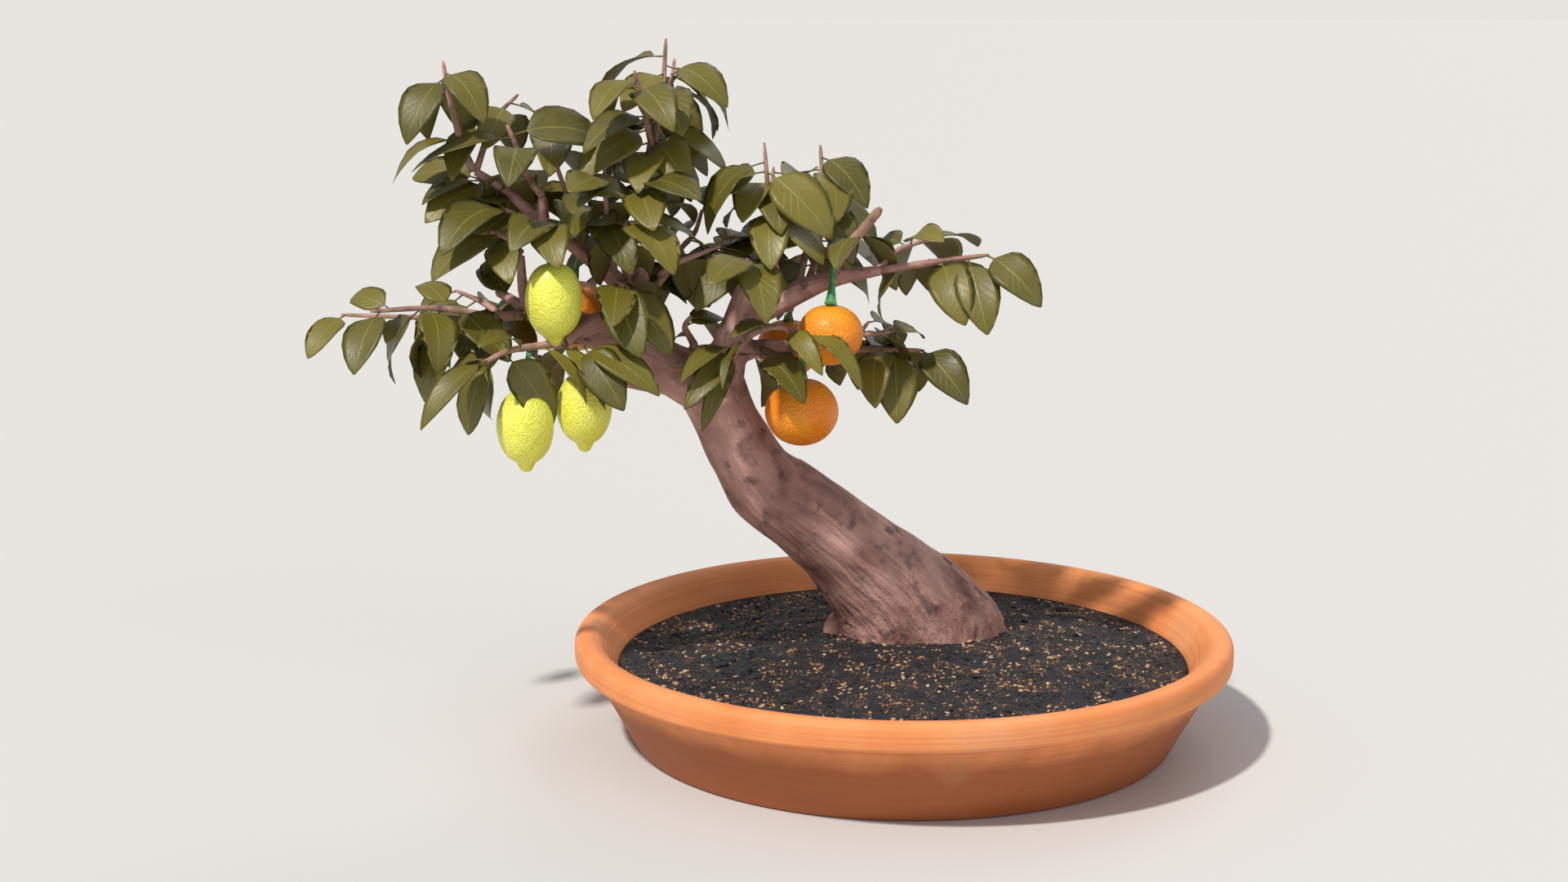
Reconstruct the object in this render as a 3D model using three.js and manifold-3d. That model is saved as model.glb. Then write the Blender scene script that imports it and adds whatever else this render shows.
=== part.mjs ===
// Potted citrus tree in bonsai form: a leaning trunk in a wide terracotta bowl, with forked limbs,
// leafy shoots, hanging lemons and small oranges.
// Millimetres, +Z up. The origin is the centre of the bowl's flat underside, and the tree leans
// towards -X. The front of the tree faces -Y.
import * as THREE from 'three';
import { mergeVertices } from 'three/addons/utils/BufferGeometryUtils.js';
import Module from 'manifold-3d';

const wasm = await Module();
wasm.setup();

// Driving dimensions of the bowl.
const rimRadius = 300;
const rimTop = 100;
const rimBand = 25;
const rimRoll = 9;
const rimRollSteps = 2;
const wallTopRadius = 285;
const rimStepRadius = 289;
const baseRadius = 249;
const baseBevel = [6, 5];
const mouthRadius = 282;
const mouthSlopeRadius = 274;
const soilEdgeRadius = 260;
const innerBaseRadius = 238;
const innerFloorRadius = 227;
const innerBevel = 8;
const floorThickness = 12;
const bowlFacets = 48;
const drainRadius = 7;
const drainCircle = 95;
const drainCount = 3;
const drainFacets = 16;

// Driving dimensions of the soil, which rises a little from its edge towards the trunk.
const soilHeight = 72;
const soilShoulderRadius = 190;
const soilShoulderRise = 3;
const soilCrown = 4.5;

// Driving dimensions of the fruit and stalks. Heights are half heights, as parts of the radius.
const orangeHeight = 0.93;
const lemonHeight = 1.32;
const lemonFullness = 0.9;
const nippleLength = 8;
const nippleShoulder = 0.62;
const fruitSteps = 8;
const fruitFacets = 10;
const stalkRadii = [2.3, 2.6, 4.8];

// The gap left between pieces that touch, and how much larger a piece is where it cuts another.
const gap = 0.3;
const cutterGrowth = 0.5;
const leafClearance = 1;

// Leaf blade proportions, as parts of the leaf's whole length from twig to tip.
const leafWidth = 0.5;
const leafFold = 0.22;
const leafArch = 0.07;
const leafThickness = 1.2;
const leafRings = [0, 0.5, 0.42, 0];
const leafRingPlaces = [0, 0.36, 0.7, 1];
const leafShrink = 0.12;
const leastLeaf = 0.5;
const leafFacing = new THREE.Vector3(-0.1, -0.6, 0.8);
const firstLeafPlace = 0.05;
const lastLeafPlace = 0.97;

// Sides of the round pieces, and rings along the trunk and its root.
const trunkSides = 14;
const trunkRings = 16;
const rootSides = 8;
const limbSides = 7;
const twigSides = 4;
const stalkSides = 8;
const stalkRings = 4;

const colours = {
  terracotta: 0xd4864c,
  soil: 0x35332f,
  bark: 0x8a6660,
  leaf: 0x6f6b30,
  lemon: 0xdde45c,
  orange: 0xf08a24,
  stalk: 0x3f8f4e,
};

// Limbs that grew as one piece with the trunk. Each station is [x, y, z, radius, depth ratio].
const trunkStations = [
  [20, 88, 26, 86, 0.74],
  [16, 86, 60, 89, 0.72],
  [5, 78, 91, 73, 0.79],
  [-12, 70, 118, 58, 0.86],
  [-34, 62, 143, 48, 0.92],
  [-60, 52, 170, 41.5, 1],
  [-92, 43, 199, 40, 1],
  [-123, 34, 224, 37, 1],
  [-145, 24, 257, 32, 1],
  [-161, 14, 290, 29, 1],
  [-172, 6, 317, 30, 1],
  [-180, 0, 336, 24, 1],
];
const rootSpurStations = [
  [-22, 76, 46, 26, 1],
  [-54, 74, 74, 19, 1],
  [-50, 72, 96, 10, 1],
];
const limbStations = [
  // Left limb, and the three branches that leave it.
  [[-168, 4, 316, 26], [-204, -2, 337, 24], [-233, -6, 354, 21], [-261, -10, 366, 18],
    [-283, -14, 378, 14], [-300, -17, 386, 9], [-318, -18, 389, 6.5], [-338, -18, 391, 5.4]],
  [[-224, -4, 345, 13], [-236, 4, 372, 11.5], [-247, 10, 408, 10]],
  [[-246, 0, 360, 11], [-262, -24, 388, 9.5], [-280, -42, 384, 8], [-300, -55, 372, 5.2]],
  [[-214, -2, 328, 12], [-240, -4, 331, 10], [-268, -6, 336, 7.5], [-297, -10, 344, 5.4]],
  // Upper fork of the left limb.
  [[-246, 9, 402, 10], [-263, 14, 421, 8.4], [-279, 16, 434, 7.4], [-300, 12, 451, 6.4],
    [-322, -2, 469, 5.6]],
  [[-246, 9, 402, 9], [-234, 10, 432, 8.2], [-228, 10, 458, 7.2], [-231, 10, 480, 6],
    [-229, 10, 517, 4.8]],
  [[-320, -4, 462, 5.6], [-322, -6, 480, 5], [-323, -8, 496, 4.4]],
  [[-318, 0, 466, 5.4], [-338, -2, 484, 4.8], [-356, 0, 500, 4.4], [-383, 0, 517, 4]],
  [[-328, -18, 386, 6], [-338, -17, 402, 5.4], [-341, -16, 420, 4.8], [-342, -15, 444, 4]],
  // Right limb with its knotted head, and the long branches that leave it.
  [[-170, 6, 308, 24], [-167, 2, 330, 22], [-160, -2, 352, 18], [-151, -5, 378, 14.5],
    [-144, -4, 402, 12], [-137, 0, 422, 10.5], [-134, 2, 432, 5]],
  [[-152, -5, 376, 13], [-131, -6, 393, 12.6], [-112, -8, 402, 12], [-91, -10, 413, 10.5],
    [-66, -10, 422, 8], [-22, -10, 430, 4.8]],
  [[-160, -3, 350, 10], [-131, -4, 359, 8], [-96, 0, 359, 6.6], [-54, 6, 356, 4.6]],
  [[-166, -2, 352, 7], [-180, 3, 356, 6], [-195, 4, 352, 5]],
  // Short spurs that carry fruit.
  [[-66, -10, 423, 4.2], [-65, -18, 430, 3.6], [-65, -23, 438, 2.4]],
  [[-104, -6, 402, 6], [-103, 6, 396, 4.4], [-103, 14, 391, 3.6]],
];

// Leafy shoots. A twig runs from its limb to its tip between the two radii. Each leaf is
// [place along the twig, yaw, droop, length, width ratio], with yaw counted from +X towards +Y
// and droop below the horizontal, in degrees.
const shoots = [
  {
    name: 'left_spire',
    twig: [[-384, 0, 517], [-394, -6, 544], [-403, -14, 589], [-406, -18, 614]],
    radii: [3.6, 1.6],
    leaves: [
      [0.8, 235, 45, 72], [0.75, 125, 40, 72], [0.85, 315, 35, 72], [0.75, 75, 35, 73],
      [0.35, 180, 25, 76],
    ],
  },
  {
    name: 'left_spire_side',
    twig: [[-381, 0, 519], [-370, 10, 552], [-362, 18, 567], [-346, 28, 583]],
    radii: [3.2, 1.5],
    leaves: [
      [0.8, 255, 35, 58, 0.5], [0.85, 40, 35, 72], [0.5, 120, 25, 73], [0.65, 85, 30, 73],
      [0.4, 230, 35, 72],
    ],
  },
  {
    name: 'fork_left',
    twig: [[-323, -8, 496], [-333, -20, 512], [-343, -34, 544], [-349, -40, 560]],
    radii: [3.4, 1.6],
    leaves: [
      [0.6, 275, 15, 72], [0.75, 180, 15, 93], [0.8, 20, 5, 88], [0.45, 125, 30, 72],
      [0.35, 100, 40, 72],
    ],
  },
  {
    name: 'fork_right',
    twig: [
      [-267, 12, 449], [-278, 6, 465], [-299, 8, 488], [-307, 14, 507], [-319, 26, 537],
      [-326, 32, 551],
    ],
    radii: [3.2, 1.5],
    leaves: [
      [0.85, 275, 15, 72], [0.4, 275, 15, 72], [0.8, 60, 35, 73], [0.5, 120, 20, 73],
      [0.3, 300, 15, 72],
    ],
  },
  {
    name: 'spur_left_a',
    twig: [[-356, 0, 500], [-368, 10, 504], [-380, 18, 508]],
    radii: [2.6, 1.5],
    leaves: [
      [0.85, 220, 10, 72], [0.75, 225, 25, 72], [0.95, 160, 0, 72], [0.6, 135, 25, 72],
      [0.5, 110, 45, 73],
    ],
  },
  {
    name: 'spur_left_b',
    twig: [[-334, -12, 469], [-345, -22, 481], [-354, -30, 486]],
    radii: [2.6, 1.5],
    leaves: [
      [0.9, 235, 15, 85], [0.7, 140, 5, 72], [1, 125, 0, 72], [0.4, 115, 45, 72],
    ],
  },
  {
    name: 'crook_left',
    twig: [[-342, -15, 446], [-352, -26, 460], [-366, -36, 467]],
    radii: [3.2, 1.6],
    leaves: [
      [0.75, 230, 20, 84], [0.4, 275, 25, 72], [0.9, 135, 25, 72], [0.25, 120, 30, 72],
    ],
  },
  {
    name: 'crook_front',
    twig: [[-325, -8, 470], [-320, -24, 471], [-316, -38, 473]],
    radii: [2.4, 1.5],
    leaves: [
      [1, 280, 25, 72], [0.75, 250, 10, 72], [0.75, 65, 20, 73],
    ],
  },
  {
    name: 'centre_left',
    twig: [[-261, 10, 427], [-264, -8, 464], [-266, -20, 497], [-266, -28, 522]],
    radii: [3.2, 1.5],
    leaves: [
      [0.85, 250, 0, 73], [0.7, 255, 10, 73], [0.4, 290, 30, 73], [0.6, 90, 35, 72],
      [0.85, 55, 10, 72], [0.65, 65, 10, 73],
    ],
  },
  {
    name: 'top_spire',
    twig: [[-229, 10, 519], [-224, 14, 541], [-218, 20, 577], [-216, 24, 595], [-214, 32, 632]],
    radii: [4.0, 1.7],
    leaves: [
      [0.9, 150, 25, 76], [0.8, 240, 25, 73], [0.85, 25, 40, 84], [0.65, 285, 30, 73],
      [0.65, 35, 35, 72], [0.5, 65, 35, 72], [0.35, 345, 30, 72], [0.25, 300, 25, 73],
      [0.15, 265, 20, 73], [0.35, 130, 10, 72],
    ],
  },
  {
    name: 'top_spire_side',
    twig: [[-226, 12, 536], [-230, -4, 560], [-233, -16, 586], [-239, -26, 606]],
    radii: [3.0, 1.5],
    leaves: [
      [0.85, 235, 25, 72], [0.7, 295, 25, 72], [0.4, 225, 15, 78], [0.25, 220, 30, 80],
      [0.3, 140, 45, 73], [0.75, 120, 20, 73],
    ],
  },
  {
    name: 'top_spire_back',
    twig: [[-216, 22, 582], [-210, 36, 594], [-207, 48, 614]],
    radii: [2.6, 1.4],
    leaves: [
      [0.8, 315, 25, 73], [0.65, 40, 55, 72], [0.55, 0, 75, 75], [0.6, 110, 30, 72],
    ],
  },
  {
    name: 'crown_low',
    twig: [[-228, 10, 458], [-233, -10, 485], [-236, -24, 503], [-234, -32, 511]],
    radii: [3.2, 1.6],
    leaves: [
      [0.95, 320, 10, 72], [0.8, 60, 10, 73], [0.4, 220, -15, 72], [0.3, 60, 5, 73],
      [0.7, 285, 25, 72], [0.55, 120, 10, 73],
    ],
  },
  {
    name: 'crown_mid',
    twig: [[-247, 8, 408], [-250, -16, 439], [-251, -34, 462], [-245, -46, 478]],
    radii: [3.2, 1.6],
    leaves: [
      [0.95, 310, 20, 80], [0.85, 120, 45, 72], [0.9, 135, 15, 73], [0.65, 75, 40, 73],
      [1, 30, 20, 86],
    ],
  },
  {
    name: 'shade_pair',
    twig: [[-247, 10, 405], [-249, -20, 416], [-257, -48, 424]],
    radii: [3.0, 1.6],
    leaves: [
      [1, 290, 45, 79], [0.85, 265, 20, 73], [0.65, 320, 45, 78], [0.9, 65, 25, 72],
    ],
  },
  {
    name: 'shoulder_left',
    twig: [[-183, 44, 478], [-190, 36, 458], [-202, 26, 445], [-212, 16, 427], [-225, 8, 412]],
    radii: [1.8, 3.4],
    leaves: [
      [0.05, 60, -20, 72], [0.25, 115, 15, 73], [0.35, 65, 30, 73], [0.6, 115, 40, 72],
      [0.7, 70, 35, 72],
    ],
  },
  {
    name: 'shoulder_right',
    twig: [[-165, -20, 453], [-185, -10, 444], [-203, -2, 436], [-222, 6, 423]],
    radii: [1.8, 3.0],
    leaves: [
      [0.05, 65, 30, 72], [0.2, 110, 40, 73], [0.05, 60, 0, 72], [0.4, 80, 45, 72],
    ],
  },
  {
    name: 'mid_spire_left',
    twig: [[-112, -8, 407], [-120, -14, 453], [-122, -20, 489], [-126, -30, 544]],
    radii: [4.2, 1.6],
    leaves: [
      [0.9, 205, 45, 84], [0.85, 145, 25, 73], [0.65, 270, 40, 72], [0.85, 330, 40, 86],
      [0.55, 320, 25, 72], [0.75, 130, 25, 73], [0.45, 130, 20, 72], [0.7, 50, 20, 72],
    ],
  },
  {
    name: 'mid_spire_side',
    twig: [[-121, -18, 481], [-120, 2, 498], [-118, 18, 519]],
    radii: [2.8, 1.5],
    leaves: [
      [0.9, 55, 20, 73], [0.7, 245, 20, 72], [0.5, 55, 45, 72], [0.6, 280, 30, 72],
    ],
  },
  {
    name: 'mid_spire_right',
    twig: [[-96, -10, 412], [-91, 6, 436], [-79, 22, 477], [-75, 34, 510], [-76, 42, 537]],
    radii: [3.8, 1.6],
    leaves: [
      [0.9, 320, 30, 72], [0.8, 285, 35, 72], [0.75, 45, 45, 72], [0.65, 5, 45, 72],
      [0.55, 300, 40, 72], [0.8, 125, 35, 72], [0.5, 250, 20, 72], [0.35, 75, 35, 72],
    ],
  },
  {
    name: 'cut_twig',
    twig: [[-72, -8, 417], [-51, -26, 454], [-41, -34, 467], [-25, -46, 488]],
    radii: [4.6, 4.2],
    leaves: [
      [0.5, 245, 20, 58], [0.65, 65, 35, 72], [0.55, 70, 20, 73],
    ],
  },
  {
    name: 'knot_leaves',
    twig: [[-137, 0, 426], [-139, -22, 438], [-142, -42, 443]],
    radii: [3.2, 1.7],
    leaves: [
      [0.95, 250, 10, 72], [0.85, 280, 35, 76], [0.6, 225, 30, 76], [0.75, 55, 50, 76],
      [0.4, 115, -10, 73], [0.75, 100, 35, 72],
    ],
  },
  {
    name: 'branch_c_end',
    twig: [[-22, -10, 430], [25, -24, 439], [71, -40, 447]],
    radii: [3.8, 1.8],
    leaves: [
      [1, 320, 30, 72], [0.8, 285, 55, 80], [0.55, 290, 40, 72], [0.65, 65, 25, 73], [0.4, 75, 35, 72],
      [0.2, 130, 50, 58], [0.45, 115, 30, 55], [0.75, 105, 45, 72],
    ],
  },
  {
    name: 'branch_c_upper',
    twig: [[-25, -10, 431], [-6, 8, 446], [15, 22, 452], [30, 34, 454]],
    radii: [3.2, 1.6],
    leaves: [
      [1, 45, 5, 72], [0.5, 295, -10, 60], [0.55, 105, 35, 73], [0.85, 70, 30, 72],
      [0.45, 125, 10, 53],
    ],
  },
  {
    name: 'branch_d_end',
    twig: [[-54, 6, 356], [-16, 20, 354], [19, 34, 351]],
    radii: [3.4, 1.7],
    leaves: [
      [1, 310, 35, 72], [0.6, 270, 50, 80], [0.45, 255, 30, 72], [0.8, 75, 40, 72], [0.25, 60, 5, 73],
      [0.15, 110, 35, 72], [0.5, 100, -15, 56],
    ],
  },
  {
    name: 'branch_d_upper',
    twig: [[-74, 1, 358], [-45, -8, 370], [-14, -20, 376]],
    radii: [2.6, 1.5],
    leaves: [
      [1, 50, 10, 50], [0.75, 60, 30, 72], [0.6, 110, 35, 73],
    ],
  },
  {
    name: 'front_sweep',
    twig: [[-156, -22, 352], [-149, -34, 364], [-136, -44, 378], [-115, -52, 385], [-90, -60, 378]],
    radii: [4.4, 2.0],
    leaves: [
      [1, 315, 25, 80, 0.3], [0.85, 300, 30, 60, 0.34], [0.25, 225, 15, 77, 0.34],
      [0.15, 235, 30, 82, 0.34], [0.15, 240, 45, 84, 0.22], [0.75, 220, 5, 51, 0.4],
      [0.35, 245, 30, 60, 0.2],
    ],
  },
  {
    name: 'front_shade',
    twig: [[-152, -18, 354], [-141, -30, 356], [-130, -38, 356]],
    radii: [3.0, 1.6],
    leaves: [
      [0.95, 315, 25, 68, 0.5], [0.75, 75, 50, 60], [0.85, 50, 10, 57],
    ],
  },
  {
    name: 'fork_twig',
    twig: [[-195, 4, 351], [-190, 4, 360], [-193, 4, 367], [-198, 4, 377], [-192, 4, 387]],
    radii: [4.4, 2.0],
    leaves: [
      [1, 50, 35, 52], [0.75, 40, -5, 60], [0.55, 120, 35, 52],
    ],
  },
  {
    name: 'left_reach_a',
    twig: [[-341, -18, 391], [-369, -28, 391], [-403, -40, 399], [-426, -48, 401], [-469, -62, 400]],
    radii: [4.6, 1.8],
    leaves: [
      [0.95, 255, 40, 76], [0.7, 290, 40, 72], [0.9, 145, -10, 54], [0.5, 130, -20, 55],
      [0.45, 320, 30, 72], [0.75, 145, 65, 84], [0.55, 145, 60, 72], [0.35, 130, 50, 72],
    ],
  },
  {
    name: 'left_reach_b',
    twig: [[-375, -28, 388], [-399, -20, 388], [-466, -6, 388], [-506, 4, 388]],
    radii: [3.2, 1.6],
    leaves: [
      [1, 240, 35, 58], [0.3, 180, 60, 85], [0.2, 280, 35, 60], [0.55, 240, 30, 40, 0.5],
      [0.05, 85, 50, 64],
    ],
  },
  {
    name: 'left_reach_c',
    twig: [[-339, -18, 398], [-353, -2, 403], [-367, 12, 408]],
    radii: [4.6, 4.0],
    leaves: [
      [0.5, 125, -25, 56], [0.35, 125, 45, 67],
    ],
  },
  {
    name: 'low_sweep',
    twig: [[-302, -56, 371], [-322, -70, 371], [-349, -84, 368], [-369, -92, 359]],
    radii: [4.2, 1.8],
    leaves: [
      [0.9, 225, 30, 88, 0.3], [0.9, 180, 70, 72, 0.4], [0.7, 0, 55, 76], [0.5, 240, -15, 61, 0.4],
      [0.35, 325, 40, 72, 0.2], [0.05, 310, 40, 76, 0.2], [0.8, 115, 70, 64], [0.55, 150, 25, 72],
      [0.9, 145, 30, 71, 0.4],
    ],
  },
  {
    name: 'low_sweep_side',
    twig: [[-290, -42, 380], [-287, -56, 374], [-283, -66, 369]],
    radii: [2.6, 1.5],
    leaves: [
      [0.9, 315, 40, 74], [0.9, 325, 25, 82, 0.4], [0.75, 135, 30, 60],
    ],
  },
  {
    name: 'low_stub',
    twig: [[-299, -10, 345], [-317, -14, 348], [-331, -16, 351]],
    radii: [4.6, 4.2],
    leaves: [
      [0.25, 135, 30, 65], [0.6, 100, 50, 64],
    ],
  },
  {
    name: 'back_top',
    twig: [[-229, 12, 500], [-232, 44, 524], [-226, 76, 562]],
    radii: [3.6, 1.6],
    leaves: [
      [0.95, 80, 25, 72], [0.9, 200, 30, 70], [0.8, 330, 30, 72], [0.7, 130, 35, 74],
      [0.6, 25, 40, 70], [0.45, 170, 35, 72], [0.4, 70, 45, 72],
    ],
  },
  {
    name: 'back_centre',
    twig: [[-244, 12, 412], [-256, 48, 430], [-252, 92, 462]],
    radii: [3.8, 1.6],
    leaves: [
      [0.95, 100, 25, 72], [0.85, 350, 30, 72], [0.8, 190, 30, 72], [0.65, 50, 40, 70],
      [0.55, 140, 40, 72], [0.4, 10, 30, 68],
    ],
  },
  {
    name: 'back_right',
    twig: [[-88, -8, 415], [-80, 34, 436], [-72, 84, 462]],
    radii: [3.8, 1.6],
    leaves: [
      [0.95, 70, 25, 72], [0.85, 180, 30, 72], [0.75, 350, 30, 74], [0.65, 120, 40, 70],
      [0.5, 30, 40, 72], [0.4, 170, 35, 68],
    ],
  },
  {
    name: 'back_left',
    twig: [[-324, -2, 472], [-340, 34, 488], [-346, 82, 516]],
    radii: [3.6, 1.6],
    leaves: [
      [0.95, 95, 25, 72], [0.85, 210, 30, 72], [0.75, 345, 30, 70], [0.6, 150, 35, 72],
      [0.5, 40, 40, 72], [0.4, 190, 35, 70],
    ],
  },
  {
    name: 'back_head',
    twig: [[-138, 2, 418], [-150, 40, 432], [-158, 90, 456]],
    radii: [3.8, 1.6],
    leaves: [
      [0.95, 85, 30, 72], [0.85, 205, 35, 72], [0.75, 340, 30, 72], [0.6, 130, 40, 70],
      [0.5, 20, 40, 70], [0.4, 160, 40, 68],
    ],
  },
  {
    name: 'back_reach',
    twig: [[-358, -22, 390], [-380, 12, 398], [-410, 52, 404]],
    radii: [3.6, 1.6],
    leaves: [
      [0.97, 140, 30, 70], [0.85, 220, 45, 72], [0.75, 60, 40, 72], [0.6, 180, 50, 72],
      [0.5, 20, 45, 70], [0.35, 110, 50, 70],
    ],
  },
  {
    name: 'back_low',
    twig: [[-60, 4, 356], [-44, 36, 362], [-30, 74, 372]],
    radii: [3.4, 1.6],
    leaves: [
      [0.97, 60, 30, 70], [0.85, 150, 40, 70], [0.75, 330, 40, 72], [0.55, 90, 50, 72],
      [0.45, 10, 45, 68],
    ],
  },
];

// Each fruit's centre and radius, and the place on a limb or twig where its stalk starts.
const fruits = [
  { name: 'lemon_high', kind: 'lemon', centre: [-309, -62, 410], radius: 25, from: [-316, -58, 468] },
  { name: 'lemon_low', kind: 'lemon', centre: [-334, -80, 302], radius: 25, from: [-330, -76, 366] },
  { name: 'lemon_front', kind: 'lemon', centre: [-284, -62, 315], radius: 24, from: [-292, -58, 368] },
  { name: 'orange_right', kind: 'orange', centre: [-68, -42, 377], radius: 29, from: [-65, -24, 434] },
  { name: 'orange_low', kind: 'orange', centre: [-93, -14, 303], radius: 33, from: [-91, -5, 352] },
  { name: 'orange_back', kind: 'orange', centre: [-105, 42, 352], radius: 29, from: [-103, 16, 391] },
  { name: 'orange_left', kind: 'orange', centre: [-300, 36, 383], radius: 35, from: [-293, 17, 440] },
];

function material(colour, roughness) {
  return new THREE.MeshStandardMaterial({ color: colour, roughness, metalness: 0 });
}

// A closed solid from any three.js geometry.
function solid(geometry) {
  const bare = geometry.clone();
  bare.deleteAttribute('normal');
  bare.deleteAttribute('uv');
  const merged = mergeVertices(bare, 1e-4);
  return new wasm.Manifold(
    new wasm.Mesh({
      numProp: 3,
      vertProperties: new Float32Array(merged.attributes.position.array),
      triVerts: new Uint32Array(merged.index.array),
    }),
  );
}

// A named mesh from a closed solid.
function piece(name, body, look) {
  const { vertProperties, triVerts } = body.getMesh();
  const geometry = new THREE.BufferGeometry();
  geometry.setAttribute('position', new THREE.BufferAttribute(vertProperties, 3));
  geometry.setIndex(new THREE.BufferAttribute(triVerts, 1));
  geometry.computeVertexNormals();
  const mesh = new THREE.Mesh(geometry, look);
  mesh.name = name;
  return mesh;
}

function joined(bodies) {
  return bodies.reduce((whole, body) => whole.add(body));
}

// Whether the boxes round two solids meet.
function near(body, other) {
  const a = body.boundingBox();
  const b = other.boundingBox();
  return [0, 1, 2].every((axis) => a.min[axis] <= b.max[axis] && b.min[axis] <= a.max[axis]);
}

function carved(body, cutters) {
  const touching = cutters.filter((cutter) => near(body, cutter));
  return touching.reduce((rest, cutter) => rest.subtract(cutter), body);
}

// The largest piece of a solid that its neighbours may have cut into several.
function largest(body) {
  return body.decompose().reduce((best, next) => (next.volume() > best.volume() ? next : best));
}

// A value between the entries of a list, at a place from 0 to 1 along it.
function between(list, place) {
  const at = place * (list.length - 1);
  const low = Math.min(Math.floor(at), list.length - 2);
  return THREE.MathUtils.lerp(list[low], list[low + 1], at - low);
}

// A tapered limb: a cylinder whose rings follow a smooth curve through its stations.
function limb(stations, sides, rings, growth = 0) {
  const curve = new THREE.CatmullRomCurve3(stations.map(([x, y, z]) => new THREE.Vector3(x, y, z)));
  const radii = stations.map((station) => station[3] + growth);
  const ratios = stations.map((station) => station[4] ?? 1);
  const chord = curve.getPoint(1).sub(curve.getPoint(0)).normalize();
  const across = Math.abs(chord.y) > 0.7 ? new THREE.Vector3(0, 0, 1) : new THREE.Vector3(0, 1, 0);
  const geometry = new THREE.CylinderGeometry(1, 1, 1, sides, rings);
  const points = geometry.attributes.position;
  const point = new THREE.Vector3();
  for (let i = 0; i < points.count; i += 1) {
    point.fromBufferAttribute(points, i);
    const along = point.y + 0.5;
    const tangent = curve.getTangent(along);
    const side = across.clone().cross(tangent).normalize();
    const depth = side.clone().cross(tangent);
    const radius = between(radii, along);
    const end = Math.trunc(2 * along - 1);
    const centre = curve.getPoint(along).addScaledVector(tangent, growth * end);
    centre.addScaledVector(side, point.x * radius);
    centre.addScaledVector(depth, point.z * radius * between(ratios, along));
    points.setXYZ(i, centre.x, centre.y, centre.z);
  }
  return solid(geometry);
}

// A leaf: four-cornered rings between its root and its tip, with the edges lifted off the midrib.
function leaf(root, yaw, droop, length, width, growth) {
  const turn = THREE.MathUtils.degToRad(yaw);
  const fall = THREE.MathUtils.degToRad(droop);
  const flat = Math.cos(fall);
  const ahead = new THREE.Vector3(flat * Math.cos(turn), flat * Math.sin(turn), -Math.sin(fall));
  const up = leafFacing.clone().addScaledVector(ahead, -leafFacing.dot(ahead)).normalize();
  const side = up.clone().cross(ahead);
  const geometry = new THREE.SphereGeometry(1, 4, leafRings.length - 1);
  const points = geometry.attributes.position;
  for (let i = 0; i < points.count; i += 1) {
    const ring = Math.round((Math.acos(points.getY(i)) / Math.PI) * (leafRings.length - 1));
    const along = leafRingPlaces[ring];
    const across = Math.sign(Math.round(points.getX(i) * 4));
    const above = Math.sign(Math.round(points.getZ(i) * 4));
    const half = leafRings[ring] * length * width + growth;
    const lift = leafArch * length * 4 * along * (1 - along) + Math.abs(across) * half * leafFold;
    const place = root.clone().addScaledVector(ahead, along * (length + 2 * growth) - growth);
    place.addScaledVector(side, across * half);
    place.addScaledVector(up, lift + above * (leafThickness / 2 + growth));
    points.setXYZ(i, place.x, place.y, place.z);
  }
  return solid(geometry);
}

function shootTwig(shoot, growth = 0) {
  const last = shoot.twig.length - 1;
  const stations = shoot.twig.map((point, i) => [
    ...point,
    THREE.MathUtils.lerp(shoot.radii[0], shoot.radii[1], i / last),
  ]);
  return limb(stations, twigSides, stations.length, growth);
}

function meets(body, others) {
  return others.some((other) => near(body, other) && !body.intersect(other).isEmpty());
}

// One leaf of a shoot with its cutter, drawn back along its midrib until it clears its neighbours.
function clearLeaf(curve, [at, yaw, droop, length, width = leafWidth], neighbours) {
  const root = curve.getPoint(THREE.MathUtils.clamp(at, firstLeafPlace, lastLeafPlace));
  for (let size = 1; size > leastLeaf; size -= leafShrink) {
    const cutter = leaf(root, yaw, droop, length * size, width, leafClearance);
    if (!meets(cutter, neighbours)) {
      return { body: leaf(root, yaw, droop, length * size, width, 0), cutter };
    }
  }
  return null;
}

// The leaves of a shoot that have room.
function shootLeaves(shoot, neighbours) {
  const curve = new THREE.CatmullRomCurve3(shoot.twig.map((point) => new THREE.Vector3(...point)));
  const leaves = shoot.leaves.map((entry) => clearLeaf(curve, entry, neighbours));
  return leaves.filter((entry) => entry !== null);
}

// The wood of the trunk and its limbs, grown a little where it is used to cut its neighbours.
function tree(growth = 0) {
  return joined([
    limb(trunkStations, trunkSides, trunkRings, growth),
    limb(rootSpurStations, rootSides, rootSpurStations.length, growth),
    ...limbStations.map((stations) => limb(stations, limbSides, stations.length, growth)),
  ]);
}

function turned(profile, facets) {
  const geometry = new THREE.LatheGeometry(
    profile.map(([radius, height]) => new THREE.Vector2(radius, height)),
    facets,
  );
  return solid(geometry.rotateX(Math.PI / 2));
}

// The bowl's wall slopes out from the base to a step under the rolled rim.
function bowlProfile() {
  const roll = Array.from({ length: rimRollSteps + 1 }, (unused, i) => {
    const angle = ((Math.PI / 2) * i) / rimRollSteps;
    const radius = rimRadius - rimRoll + rimRoll * Math.cos(angle);
    return [radius, rimTop - rimRoll + rimRoll * Math.sin(angle)];
  });
  const bandFoot = rimTop - rimBand;
  return [
    [0, 0],
    [baseRadius - baseBevel[0], 0],
    [baseRadius, baseBevel[1]],
    [wallTopRadius, bandFoot - 3],
    [rimStepRadius, bandFoot - 1],
    [rimRadius - 4, bandFoot],
    [rimRadius, bandFoot + 4],
    ...roll,
    [mouthRadius, rimTop - 1.5],
    [mouthSlopeRadius, rimTop - rimRoll],
    [soilEdgeRadius, soilHeight],
    [innerBaseRadius, floorThickness + innerBevel],
    [innerFloorRadius, floorThickness],
    [0, floorThickness],
  ];
}

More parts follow.
